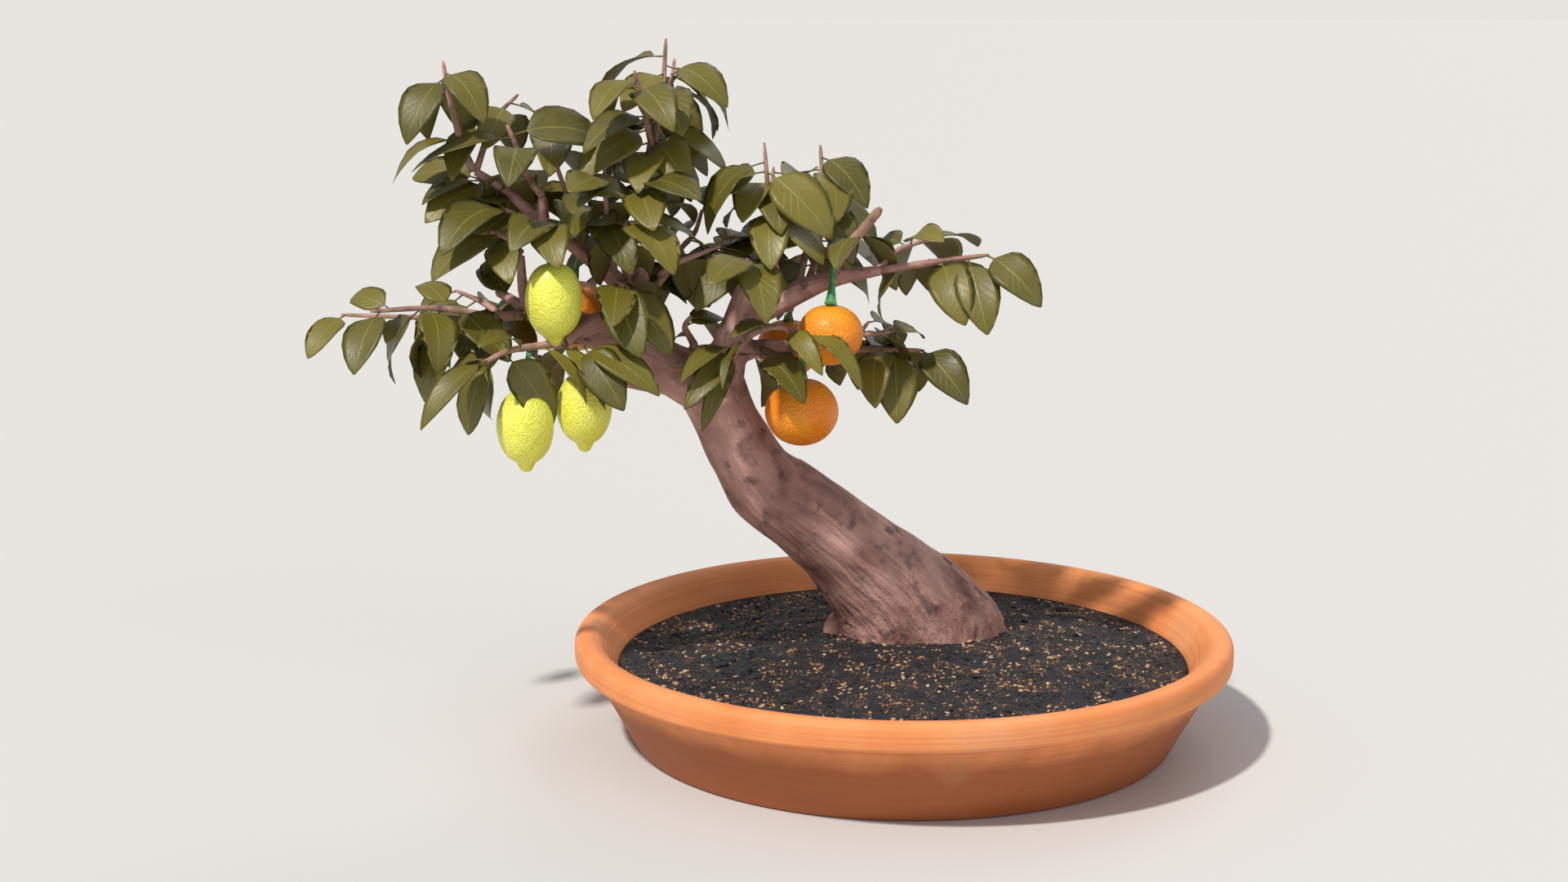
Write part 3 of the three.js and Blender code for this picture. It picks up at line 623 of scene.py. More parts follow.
def makeDrill(index):
    size = bowlSizes
    turn = 2 * math.pi * index / size["drains"] + math.pi / 6
    spot = Vector((math.cos(turn), math.sin(turn), 0)) * size["drainCircle"] * mm
    radius = size["drainRadius"] * mm
    bm = bmesh.new()
    bmesh.ops.create_cone(bm, cap_ends=True, segments=size["drillSides"], radius1=radius,
                          radius2=radius, depth=size["drillDepth"] * mm,
                          matrix=Matrix.Translation(spot))
    return newSolid(bm, f"drill{index}")


def makeBowl():
    size = bowlSizes
    bm = bmesh.new()
    spinProfile(bm, bowlOutline(), size["turns"])
    for vert in bm.verts:
        out = Vector((vert.co.x, vert.co.y, 0))
        if out.length > size["trueWithin"] * mm:
            # Thrown by hand, so never quite true
            wave = noise.noise(vert.co * size["wobbleScale"])
            vert.co += out.normalized() * wave * size["wobble"] * mm
    body = newSolid(bm, "bowlBody")
    drills = [makeDrill(index) for index in range(size["drains"])]
    for index, drill in enumerate(drills):
        cut = body.modifiers.new(f"drain{index}", "BOOLEAN")
        cut.object = drill
        cut.solver = "EXACT"
    mesh = bakedMesh(body)
    for drill in drills:
        bpy.data.objects.remove(drill)
    for polygon in mesh.polygons:
        polygon.use_smooth = True
    return placeMesh(mesh, "terracottaBowl", "terracotta", ["terracotta_bowl"], clay)


makeBowl()
print("bowl turned")


# Trunk and limbs. Each station is (x, y, z, radius, depth ratio).

trunkStations = [
    (20, 88, 26, 86, 0.74), (16, 86, 60, 89, 0.72), (5, 78, 91, 73, 0.79), (-12, 70, 118, 58, 0.86),
    (-34, 62, 143, 48, 0.92), (-60, 52, 170, 41.5, 1), (-92, 43, 199, 40, 1), (-123, 34, 224, 37, 1),
    (-145, 24, 257, 32, 1), (-161, 14, 290, 29, 1), (-172, 6, 317, 30, 1), (-180, 0, 336, 24, 1),
]
limbStations = [
    [(-22, 76, 46, 26), (-54, 74, 74, 19), (-50, 72, 96, 10)],
    # Left limb and the branches that leave it
    [(-168, 4, 316, 26), (-204, -2, 337, 24), (-233, -6, 354, 21), (-261, -10, 366, 18),
     (-283, -14, 378, 14), (-300, -17, 386, 9), (-318, -18, 389, 6.5), (-338, -18, 391, 5.4)],
    [(-224, -4, 345, 13), (-236, 4, 372, 11.5), (-247, 10, 408, 10)],
    [(-246, 0, 360, 11), (-262, -24, 388, 9.5), (-280, -42, 384, 8), (-300, -55, 372, 5.2)],
    [(-214, -2, 328, 12), (-240, -4, 331, 10), (-268, -6, 336, 7.5), (-297, -10, 344, 5.4)],
    [(-246, 9, 402, 10), (-263, 14, 421, 8.4), (-279, 16, 434, 7.4), (-300, 12, 451, 6.4),
     (-322, -2, 469, 5.6)],
    [(-246, 9, 402, 9), (-234, 10, 432, 8.2), (-228, 10, 458, 7.2), (-231, 10, 480, 6),
     (-229, 10, 517, 4.8)],
    [(-320, -4, 462, 5.6), (-322, -6, 480, 5), (-323, -8, 496, 4.4)],
    [(-318, 0, 466, 5.4), (-338, -2, 484, 4.8), (-356, 0, 500, 4.4), (-383, 0, 517, 4)],
    [(-328, -18, 386, 6), (-338, -17, 402, 5.4), (-341, -16, 420, 4.8), (-342, -15, 444, 4)],
    # Right limb with its knotted head, and its long branches
    [(-170, 6, 308, 24), (-167, 2, 330, 22), (-160, -2, 352, 18), (-151, -5, 378, 14.5),
     (-144, -4, 402, 12), (-137, 0, 422, 10.5), (-134, 2, 432, 5)],
    [(-152, -5, 376, 13), (-131, -6, 393, 12.6), (-112, -8, 402, 12), (-91, -10, 413, 10.5),
     (-66, -10, 422, 8), (-22, -10, 430, 4.8)],
    [(-160, -3, 350, 10), (-131, -4, 359, 8), (-96, 0, 359, 6.6), (-54, 6, 356, 4.6)],
    [(-166, -2, 352, 7), (-180, 3, 356, 6), (-195, 4, 352, 5)],
    # Spurs that carry fruit
    [(-66, -10, 423, 4.2), (-65, -18, 430, 3.6), (-65, -23, 438, 2.4)],
    [(-104, -6, 402, 6), (-103, 6, 396, 4.4), (-103, 14, 391, 3.6)],
]
trunkShape = {
    # Knots and burrs: (x, y, z, radius)
    "knots": [(-137, -3, 421, 13), (-200, -14, 338, 17), (-247, 8, 406, 12), (-156, -9, 372, 14),
              (-236, -14, 352, 14), (-66, -12, 424, 9.5), (-283, -16, 379, 12), (-160, 20, 300, 22),
              (-172, -8, 330, 20)],
    "voxel": 1.7, "sides": 40, "thinRadius": 30, "thinSides": 18, "knotSides": (20, 12),
    "ringStep": 5, "smoothing": 4, "neighbours": 12,
    # Bark relief: height as a share of the limb's radius, and how tight the pattern is
    "lumps": (0.05, 26), "ridges": (0.036, 90), "creases": (0.06, 210),
    "grainDraw": 0.14, "most": 2.6,
}


def trunkRings(stations):
    length = sum((Vector(b[:3]) - Vector(a[:3])).length for a, b in zip(stations, stations[1:]))
    return limbPlaces(stations, max(6, round(length / trunkShape["ringStep"])))


def joinLimbs(limbs):
    # Separate tubes and knots, grown into one smoothed skin
    shape = trunkShape
    bm = bmesh.new()
    for places in limbs:
        thick = places[0][4] > shape["thinRadius"] * mm
        sweep(bm, places, shape["sides"] if thick else shape["thinSides"])
    around, down = shape["knotSides"]
    for x, y, z, radius in shape["knots"]:
        bmesh.ops.create_uvsphere(bm, u_segments=around, v_segments=down, radius=radius * mm,
                                  matrix=Matrix.Translation(Vector((x, y, z)) * mm))
    rough = newSolid(bm, "trunkRough")
    remesh = rough.modifiers.new("oneSkin", "REMESH")
    remesh.mode = "VOXEL"
    remesh.voxel_size = shape["voxel"] * mm
    mesh = bakedMesh(rough)
    bm = bmesh.new()
    bm.from_mesh(mesh)
    bpy.data.meshes.remove(mesh)
    for turn in range(shape["smoothing"]):
        bmesh.ops.smooth_vert(bm, verts=bm.verts, factor=0.5, use_axis_x=True, use_axis_y=True,
                              use_axis_z=True)
    return bm


def limbSamples(limbs):
    # Every ring of every limb with its distance along the limb, and a search tree over them
    samples = []
    for places in limbs:
        walked = 0.0
        for i, place in enumerate(places):
            walked += (place[0] - places[i - 1][0]).length if i else 0
            samples.append((place, walked))
    tree = kdtree.KDTree(len(samples))
    for i, (place, walked) in enumerate(samples):
        tree.insert(place[0], i)
    tree.balance()
    return samples, tree


def barkRelief(at, onLimb, radius):
    # How far the bark stands out, from the vertex's own place and its place on the limb
    shape = trunkShape
    pull = Vector((onLimb.x, onLimb.y, onLimb.z * shape["grainDraw"]))
    ridge = 1 - abs(noise.noise(pull * shape["ridges"][1])) * 2
    crease = min(0, noise.noise(pull * shape["creases"][1] + Vector((7, 3, 1))) + 0.25)
    lump = noise.noise(at * shape["lumps"][1])
    relief = radius * (lump * shape["lumps"][0] + (ridge - 0.5) * shape["ridges"][0]
                       + crease * shape["creases"][0])
    return max(-shape["most"] * mm, min(shape["most"] * mm, relief))


def makeTrunk():
    limbs = [trunkRings(trunkStations)] + [trunkRings(stations) for stations in limbStations]
    bm = joinLimbs(limbs)
    samples, tree = limbSamples(limbs)
    grain = bm.verts.layers.float_vector.new("grain")
    bm.normal_update()
    for vert in bm.verts:
        found = tree.find_n(vert.co, trunkShape["neighbours"])
        near = min(found, key=lambda hit: hit[2] - samples[hit[1]][0][4])
        place, walked = samples[near[1]]
        away = vert.co - place[0]
        aside, inwards = away.dot(place[1]), away.dot(place[2])
        onLimb = Vector((aside, inwards, walked + away.dot(place[3])))
        vert[grain] = onLimb
        vert.co += vert.normal * barkRelief(vert.co, onLimb, math.hypot(aside, inwards))
    return finishPiece(bm, "trunkAndLimbs", "bark", ["trunk_and_limbs"], trunkBark)


trunk = makeTrunk()
print("trunk grown:", len(trunk.data.polygons), "faces")


# Soil

soilShape = {
    # Outline inside the bowl, from the middle of the floor up to the edge
    "outline": [(0, 12.6), (120, 12.6), (226, 12.6), (237, 20.6), (248, 46)],
    "edge": (259.2, 71.4), "topAbove": 70, "crown": 5, "rings": 52, "turns": 190,
    # Unevenness of the surface: height, and how tight the pattern is
    "waves": (2.0, 16), "tooth": (1.1, 130), "edgeFade": 12,
    "crumbs": 4200, "crumbReach": 256, "crumbSizes": (0.6, 1.9), "lumps": 30, "lumpSizes": (2.5, 5),
    "woodGap": 1, "driftScales": (26, 85), "roughness": 0.22,
    "darkTones": (0, 0.4), "paleTones": (0.55, 0.66, 0.78, 0.86, 0.9, 0.98),
    # Large dark clods: place across and in depth, and size
    "clods": [(-148, -61, 13), (-132, -74, 8), (-143, -8, 11), (-160, -22, 7), (-168, -38, 9)],
    "clodShape": (1, 0.8, 0.42), "clodTone": 0.12, "clodLumps": (0.7, 150),
    "seed": 5,
}


def soilHeightAt(x, y):
    # Height of the loose surface in metres, at a place in metres
    shape = soilShape
    reach = math.hypot(x, y) / (shape["edge"][0] * mm)
    rise = shape["edge"][1] + (1 - reach ** 2) * shape["crown"]
    fade = min(1, (1 - reach) * shape["edgeFade"])
    (lift, liftScale), (grit, gritScale) = shape["waves"], shape["tooth"]
    waves = noise.fractal(Vector((x, y, 0)) * liftScale, 0.7, 2.1, 4) * lift * fade
    tooth = noise.fractal(Vector((x, y, 0.4)) * gritScale, 0.8, 2.0, 3) * grit * fade
    return (rise + waves + tooth) * mm


def makeSoilBody():
    shape = soilShape
    radius, height = shape["edge"]
    surface = [(radius * (1 - i / shape["rings"]), height) for i in range(shape["rings"] + 1)]
    bm = bmesh.new()
    spinProfile(bm, shape["outline"] + surface, shape["turns"])
    for vert in bm.verts:
        if vert.co.z > shape["topAbove"] * mm:
            vert.co.z = soilHeightAt(vert.co.x, vert.co.y)
    return finishPiece(bm, "soilBed", "soil", ["potting_soil"], soilFinish)


def looseSpot(chance, wood):
    # A place on the soil that is clear of the trunk
    shape = soilShape
    while True:
        reach = shape["crumbReach"] * mm * math.sqrt(chance.random())
        turn = chance.uniform(0, 2 * math.pi)
        spot = Vector((reach * math.cos(turn), reach * math.sin(turn), 0))
        spot.z = soilHeightAt(spot.x, spot.y)
        near, normal, index, distance = wood.find_nearest(spot)
        if (spot - near).dot(normal) >= shape["woodGap"] * mm:
            return spot


def addCrumb(bm, tone, spot, lump, chance):
    # Pale crumbs gather in drifts, and the large lumps are always dark
    shape = soilShape
    size = chance.uniform(*shape["lumpSizes" if lump else "crumbSizes"]) * mm
    wide, tight = shape["driftScales"]
    drift = noise.noise(spot * wide) + 0.8 * noise.noise(spot * tight + Vector((4, 0, 0)))
    if lump or drift + chance.uniform(-0.25, 0.25) < 0.02:
        value = chance.uniform(*shape["darkTones"])
    else:
        value = chance.choice(shape["paleTones"]) + chance.uniform(-0.05, 0.02)
    stretch = Matrix.Diagonal((chance.uniform(1.2, 1.9), chance.uniform(0.7, 1.1),
                               chance.uniform(0.45, 0.8), 1))
    tilt = Euler((chance.uniform(-0.4, 0.4), chance.uniform(-0.4, 0.4),
                  chance.uniform(0, math.pi))).to_matrix().to_4x4()
    place = Matrix.Translation(spot + Vector((0, 0, size * 0.15))) @ tilt @ stretch
    rough = shape["roughness"]
    for vert in bmesh.ops.create_icosphere(bm, subdivisions=1, radius=size, matrix=place)["verts"]:
        vert[tone] = value
        vert.co += Vector([chance.uniform(-rough, rough) * size for axis in range(3)])


def addClod(bm, tone, x, y, size):
    shape = soilShape
    spot = Vector((x * mm, y * mm, soilHeightAt(x * mm, y * mm)))
    place = Matrix.Translation(spot) @ Matrix.Diagonal((*[size * part for part in shape["clodShape"]], 1))
    height, scale = shape["clodLumps"]
    for vert in bmesh.ops.create_icosphere(bm, subdivisions=3, radius=mm, matrix=place)["verts"]:
        away = vert.co - spot
        vert[tone] = shape["clodTone"]
        vert.co += away * (height * noise.fractal(vert.co * scale, 0.8, 2.0, 3) - 0.05)


def makeCrumbs(trunk):
    shape = soilShape
    chance = random.Random(shape["seed"])
    wood = BVHTree.FromObject(trunk, bpy.context.evaluated_depsgraph_get())
    bm = bmesh.new()
    tone = bm.verts.layers.float.new("crumbTone")
    for i in range(shape["crumbs"] + shape["lumps"]):
        addCrumb(bm, tone, looseSpot(chance, wood), i >= shape["crumbs"], chance)
    for x, y, size in shape["clods"]:
        addClod(bm, tone, x, y, size)
    return finishPiece(bm, "soilCrumbs", "soil", ["potting_soil"], crumbFinish)


makeSoilBody()
makeCrumbs(trunk)
print("soil laid")


# Leafy shoots. Each leaf is (place along the twig, yaw, droop, length, width ratio), with yaw
# counted from +X towards +Y and droop below the horizontal, in degrees. A leaf without a length
# or a width ratio has the usual ones.

shoots = {
    "left_spire": {
        "twig": [(-384, 0, 517), (-394, -6, 544), (-403, -14, 589), (-406, -18, 614)],
        "radii": (3.6, 1.6),
        "leaves": [(0.8, 235, 45), (0.75, 125, 40), (0.85, 315, 35),
                   (0.75, 75, 35, 73), (0.35, 180, 25, 76)],
    },
    "left_spire_side": {
        "twig": [(-381, 0, 519), (-370, 10, 552), (-362, 18, 567), (-346, 28, 583)],
        "radii": (3.2, 1.5),
        "leaves": [(0.8, 255, 35, 58, 0.5), (0.85, 40, 35), (0.5, 120, 25, 73),
                   (0.65, 85, 30, 73), (0.4, 230, 35)],
    },
    "fork_left": {
        "twig": [(-323, -8, 496), (-333, -20, 512), (-343, -34, 544), (-349, -40, 560)],
        "radii": (3.4, 1.6),
        "leaves": [(0.6, 275, 15), (0.75, 180, 15, 93), (0.8, 20, 5, 88), (0.45, 125, 30),
                   (0.35, 100, 40)],
    },
    "fork_right": {
        "twig": [(-267, 12, 449), (-278, 6, 465), (-299, 8, 488), (-307, 14, 507), (-319, 26, 537),
                 (-326, 32, 551)],
        "radii": (3.2, 1.5),
        "leaves": [(0.85, 275, 15), (0.4, 275, 15), (0.8, 60, 35, 73), (0.5, 120, 20, 73),
                   (0.3, 300, 15)],
    },
    "spur_left_a": {
        "twig": [(-356, 0, 500), (-368, 10, 504), (-380, 18, 508)],
        "radii": (2.6, 1.5),
        "leaves": [(0.85, 220, 10), (0.75, 225, 25), (0.95, 160, 0),
                   (0.6, 135, 25), (0.5, 110, 45, 73)],
    },
    "spur_left_b": {
        "twig": [(-334, -12, 469), (-345, -22, 481), (-354, -30, 486)],
        "radii": (2.6, 1.5),
        "leaves": [(0.9, 235, 15, 85), (0.7, 140, 5), (1, 125, 0), (0.4, 115, 45)],
    },
    "crook_left": {
        "twig": [(-342, -15, 446), (-352, -26, 460), (-366, -36, 467)],
        "radii": (3.2, 1.6),
        "leaves": [(0.75, 230, 20, 84), (0.4, 275, 25), (0.9, 135, 25), (0.25, 120, 30)],
    },
    "crook_front": {
        "twig": [(-325, -8, 470), (-320, -24, 471), (-316, -38, 473)],
        "radii": (2.4, 1.5),
        "leaves": [(1, 280, 25), (0.75, 250, 10), (0.75, 65, 20, 73)],
    },
    "centre_left": {
        "twig": [(-261, 10, 427), (-264, -8, 464), (-266, -20, 497), (-266, -28, 522)],
        "radii": (3.2, 1.5),
        "leaves": [(0.85, 250, 0, 73), (0.7, 255, 10, 73), (0.4, 290, 30, 73), (0.6, 90, 35),
                   (0.85, 55, 10), (0.65, 65, 10, 73)],
    },
    "top_spire": {
        "twig": [(-229, 10, 519), (-224, 14, 541), (-218, 20, 577), (-216, 24, 595),
                 (-214, 32, 632)],
        "radii": (4.0, 1.7),
        "leaves": [(0.9, 150, 25, 76), (0.8, 240, 25, 73), (0.85, 25, 40, 84), (0.65, 285, 30, 73),
                   (0.65, 35, 35), (0.5, 65, 35), (0.35, 345, 30), (0.25, 300, 25, 73),
                   (0.15, 265, 20, 73), (0.35, 130, 10)],
    },
    "top_spire_side": {
        "twig": [(-226, 12, 536), (-230, -4, 560), (-233, -16, 586), (-239, -26, 606)],
        "radii": (3.0, 1.5),
        "leaves": [(0.85, 235, 25), (0.7, 295, 25), (0.4, 225, 15, 78),
                   (0.25, 220, 30, 80), (0.3, 140, 45, 73), (0.75, 120, 20, 73)],
    },
    "top_spire_back": {
        "twig": [(-216, 22, 582), (-210, 36, 594), (-207, 48, 614)],
        "radii": (2.6, 1.4),
        "leaves": [(0.8, 315, 25, 73), (0.65, 40, 55), (0.55, 0, 75, 75), (0.6, 110, 30)],
    },
    "crown_low": {
        "twig": [(-228, 10, 458), (-233, -10, 485), (-236, -24, 503), (-234, -32, 511)],
        "radii": (3.2, 1.6),
        "leaves": [(0.95, 320, 10), (0.8, 60, 10, 73), (0.4, 220, -15), (0.3, 60, 5, 73),
                   (0.7, 285, 25), (0.55, 120, 10, 73)],
    },
    "crown_mid": {
        "twig": [(-247, 8, 408), (-250, -16, 439), (-251, -34, 462), (-245, -46, 478)],
        "radii": (3.2, 1.6),
        "leaves": [(0.95, 310, 20, 80), (0.85, 120, 45), (0.9, 135, 15, 73),
                   (0.65, 75, 40, 73), (1, 30, 20, 86)],
    },
    "shade_pair": {
        "twig": [(-247, 10, 405), (-249, -20, 416), (-257, -48, 424)],
        "radii": (3.0, 1.6),
        "leaves": [(1, 290, 45, 79), (0.85, 265, 20, 73), (0.65, 320, 45, 78), (0.9, 65, 25)],
    },
    "shoulder_left": {
        "twig": [(-183, 44, 478), (-190, 36, 458), (-202, 26, 445), (-212, 16, 427), (-225, 8, 412)],
        "radii": (1.8, 3.4),
        "leaves": [(0.05, 60, -20), (0.25, 115, 15, 73), (0.35, 65, 30, 73),
                   (0.6, 115, 40), (0.7, 70, 35)],
    },
    "shoulder_right": {
        "twig": [(-165, -20, 453), (-185, -10, 444), (-203, -2, 436), (-222, 6, 423)],
        "radii": (1.8, 3.0),
        "leaves": [(0.05, 65, 30), (0.2, 110, 40, 73), (0.05, 60, 0), (0.4, 80, 45)],
    },
    "mid_spire_left": {
        "twig": [(-112, -8, 407), (-120, -14, 453), (-122, -20, 489), (-126, -30, 544)],
        "radii": (4.2, 1.6),
        "leaves": [(0.9, 205, 45, 84), (0.85, 145, 25, 73), (0.65, 270, 40),
                   (0.85, 330, 40, 86), (0.55, 320, 25), (0.75, 130, 25, 73),
                   (0.45, 130, 20), (0.7, 50, 20)],
    },
    "mid_spire_side": {
        "twig": [(-121, -18, 481), (-120, 2, 498), (-118, 18, 519)],
        "radii": (2.8, 1.5),
        "leaves": [(0.9, 55, 20, 73), (0.7, 245, 20), (0.5, 55, 45), (0.6, 280, 30)],
    },
    "mid_spire_right": {
        "twig": [(-96, -10, 412), (-91, 6, 436), (-79, 22, 477), (-75, 34, 510), (-76, 42, 537)],
        "radii": (3.8, 1.6),
        "leaves": [(0.9, 320, 30), (0.8, 285, 35), (0.75, 45, 45), (0.65, 5, 45),
                   (0.55, 300, 40), (0.8, 125, 35), (0.5, 250, 20), (0.35, 75, 35)],
    },
    "cut_twig": {
        "twig": [(-72, -8, 417), (-51, -26, 454), (-41, -34, 467), (-25, -46, 488)],
        "radii": (4.6, 4.2),
        "leaves": [(0.5, 245, 20, 58), (0.65, 65, 35), (0.55, 70, 20, 73)],
    },
    "knot_leaves": {
        "twig": [(-137, 0, 426), (-139, -22, 438), (-142, -42, 443)],
        "radii": (3.2, 1.7),
        "leaves": [(0.95, 250, 10), (0.85, 280, 35, 76), (0.6, 225, 30, 76),
                   (0.75, 55, 50, 76), (0.4, 115, -10, 73), (0.75, 100, 35)],
    },
    "branch_c_end": {
        "twig": [(-22, -10, 430), (25, -24, 439), (71, -40, 447)],
        "radii": (3.8, 1.8),
        "leaves": [(1, 320, 30), (0.8, 285, 55, 80), (0.55, 290, 40), (0.65, 65, 25, 73),
                   (0.4, 75, 35), (0.2, 130, 50, 58), (0.45, 115, 30, 55), (0.75, 105, 45)],
    },
    "branch_c_upper": {
        "twig": [(-25, -10, 431), (-6, 8, 446), (15, 22, 452), (30, 34, 454)],
        "radii": (3.2, 1.6),
        "leaves": [(1, 45, 5), (0.5, 295, -10, 60), (0.55, 105, 35, 73), (0.85, 70, 30),
                   (0.45, 125, 10, 53)],
    },
    "branch_d_end": {
        "twig": [(-54, 6, 356), (-16, 20, 354), (19, 34, 351)],
        "radii": (3.4, 1.7),
        "leaves": [(1, 310, 35), (0.6, 270, 50, 80), (0.45, 255, 30), (0.8, 75, 40),
                   (0.25, 60, 5, 73), (0.15, 110, 35), (0.5, 100, -15, 56)],
    },
    "branch_d_upper": {
        "twig": [(-74, 1, 358), (-45, -8, 370), (-14, -20, 376)],
        "radii": (2.6, 1.5),
        "leaves": [(1, 50, 10, 50), (0.75, 60, 30), (0.6, 110, 35, 73)],
    },
    "front_sweep": {
        "twig": [(-156, -22, 352), (-149, -34, 364), (-136, -44, 378), (-115, -52, 385),
                 (-90, -60, 378)],
        "radii": (4.4, 2.0),
        "leaves": [(1, 315, 25, 80, 0.3), (0.85, 300, 30, 60, 0.34), (0.25, 225, 15, 77, 0.34),
                   (0.15, 235, 30, 82, 0.34), (0.15, 240, 45, 84, 0.22), (0.75, 220, 5, 51, 0.4),
                   (0.35, 245, 30, 60, 0.2)],
    },
    "front_shade": {
        "twig": [(-152, -18, 354), (-141, -30, 356), (-130, -38, 356)],
        "radii": (3.0, 1.6),
        "leaves": [(0.95, 315, 25, 68, 0.5), (0.75, 75, 50, 60), (0.85, 50, 10, 57)],
    },
    "fork_twig": {
        "twig": [(-195, 4, 351), (-190, 4, 360), (-193, 4, 367), (-198, 4, 377), (-192, 4, 387)],
        "radii": (4.4, 2.0),
        "leaves": [(1, 50, 35, 52), (0.75, 40, -5, 60), (0.55, 120, 35, 52)],
    },
    "left_reach_a": {
        "twig": [(-341, -18, 391), (-369, -28, 391), (-403, -40, 399), (-426, -48, 401),
                 (-469, -62, 400)],
        "radii": (4.6, 1.8),
        "leaves": [(0.95, 255, 40, 76), (0.7, 290, 40), (0.9, 145, -10, 54),
                   (0.5, 130, -20, 55), (0.45, 320, 30), (0.75, 145, 65, 84),
                   (0.55, 145, 60), (0.35, 130, 50)],
    },
    "left_reach_b": {
        "twig": [(-375, -28, 388), (-399, -20, 388), (-466, -6, 388), (-506, 4, 388)],
        "radii": (3.2, 1.6),
        "leaves": [(1, 240, 35, 58), (0.3, 180, 60, 85), (0.2, 280, 35, 60),
                   (0.55, 240, 30, 40, 0.5), (0.05, 85, 50, 64)],
    },
    "left_reach_c": {
        "twig": [(-339, -18, 398), (-353, -2, 403), (-367, 12, 408)],
        "radii": (4.6, 4.0),
        "leaves": [(0.5, 125, -25, 56), (0.35, 125, 45, 67)],
    },
    "low_sweep": {
        "twig": [(-302, -56, 371), (-322, -70, 371), (-349, -84, 368), (-369, -92, 359)],
        "radii": (4.2, 1.8),
        "leaves": [(0.9, 225, 30, 88, 0.3), (0.9, 180, 70, 72, 0.4), (0.7, 0, 55, 76),
                   (0.5, 240, -15, 61, 0.4), (0.35, 325, 40, 72, 0.2), (0.05, 310, 40, 76, 0.2),
                   (0.8, 115, 70, 64), (0.55, 150, 25), (0.9, 145, 30, 71, 0.4)],
    },
    "low_sweep_side": {
        "twig": [(-290, -42, 380), (-287, -56, 374), (-283, -66, 369)],
        "radii": (2.6, 1.5),
        "leaves": [(0.9, 315, 40, 74), (0.9, 325, 25, 82, 0.4), (0.75, 135, 30, 60)],
    },
    "low_stub": {
        "twig": [(-299, -10, 345), (-317, -14, 348), (-331, -16, 351)],
        "radii": (4.6, 4.2),
        "leaves": [(0.25, 135, 30, 65), (0.6, 100, 50, 64)],
    },
    "back_top": {
        "twig": [(-229, 12, 500), (-232, 44, 524), (-226, 76, 562)],
        "radii": (3.6, 1.6),
        "leaves": [(0.95, 80, 25), (0.9, 200, 30, 70), (0.8, 330, 30), (0.7, 130, 35, 74),
                   (0.6, 25, 40, 70), (0.45, 170, 35), (0.4, 70, 45)],
    },
    "back_centre": {
        "twig": [(-244, 12, 412), (-256, 48, 430), (-252, 92, 462)],
        "radii": (3.8, 1.6),
        "leaves": [(0.95, 100, 25), (0.85, 350, 30), (0.8, 190, 30),
                   (0.65, 50, 40, 70), (0.55, 140, 40), (0.4, 10, 30, 68)],
    },
    "back_right": {
        "twig": [(-88, -8, 415), (-80, 34, 436), (-72, 84, 462)],
        "radii": (3.8, 1.6),
        "leaves": [(0.95, 70, 25), (0.85, 180, 30), (0.75, 350, 30, 74),
                   (0.65, 120, 40, 70), (0.5, 30, 40), (0.4, 170, 35, 68)],
    },
    "back_left": {
        "twig": [(-324, -2, 472), (-340, 34, 488), (-346, 82, 516)],
        "radii": (3.6, 1.6),
        "leaves": [(0.95, 95, 25), (0.85, 210, 30), (0.75, 345, 30, 70),
                   (0.6, 150, 35), (0.5, 40, 40), (0.4, 190, 35, 70)],
    },
    "back_head": {
        "twig": [(-138, 2, 418), (-150, 40, 432), (-158, 90, 456)],
        "radii": (3.8, 1.6),
        "leaves": [(0.95, 85, 30), (0.85, 205, 35), (0.75, 340, 30),
                   (0.6, 130, 40, 70), (0.5, 20, 40, 70), (0.4, 160, 40, 68)],
    },
    "back_reach": {
        "twig": [(-358, -22, 390), (-380, 12, 398), (-410, 52, 404)],
        "radii": (3.6, 1.6),
        "leaves": [(0.97, 140, 30, 70), (0.85, 220, 45), (0.75, 60, 40),
                   (0.6, 180, 50), (0.5, 20, 45, 70), (0.35, 110, 50, 70)],
    },
    "back_low": {
        "twig": [(-60, 4, 356), (-44, 36, 362), (-30, 74, 372)],
        "radii": (3.4, 1.6),
        "leaves": [(0.97, 60, 30, 70), (0.85, 150, 40, 70), (0.75, 330, 40),
                   (0.55, 90, 50), (0.45, 10, 45, 68)],
    },
}

leafShape = {
    # Rings from stalk to tip: (place along, share of the half width, thickness in millimetres)
    "rings": [(0, 0, 1.9), (0.14, 0, 1.4), (0.18, 0.4, 1.1), (0.25, 0.78, 0.9), (0.36, 0.98, 0.8),
              (0.5, 1.0, 0.75), (0.66, 0.9, 0.7), (0.81, 0.66, 0.65), (0.93, 0.34, 0.55),
              (1.0, 0.06, 0.35)],
    "sides": 8, "length": 72, "width": 0.5, "blade": 0.52, "stalkRadius": 0.85,
    "facing": (-0.04, -0.44, 0.9), "fold": 0.16, "arch": 0.12, "tipFall": 0.07, "ripple": 1.1, "sway": 0.05,
    # How far each leaf strays: in degrees, as a share of its length, or as factors
    "rollSpread": 20, "turnSpread": 4, "sizeSpread": 0.05, "widthSpread": (0.95, 1.06),
    "archSpread": (0.6, 1.5), "fallSpread": (0.2, 1.6), "foldSpread": (0.5, 1.4),
    "seed": 11,
}


def makeLeafTube():
    # The plain tube that every leaf is shaped from
    bm = bmesh.new()
    bmesh.ops.create_cone(bm, cap_ends=True, cap_tris=False, segments=leafShape["sides"],
                          radius1=1, radius2=1, depth=1)
    uprights = [edge for edge in bm.edges if abs(edge.verts[0].co.z - edge.verts[1].co.z) > 0.5]
    bmesh.ops.subdivide_edges(bm, edges=uprights, cuts=len(leafShape["rings"]) - 2)
    mesh = bpy.data.meshes.new("leafTube")
    bm.to_mesh(mesh)
    bm.free()
    return mesh


leafTube = makeLeafTube()


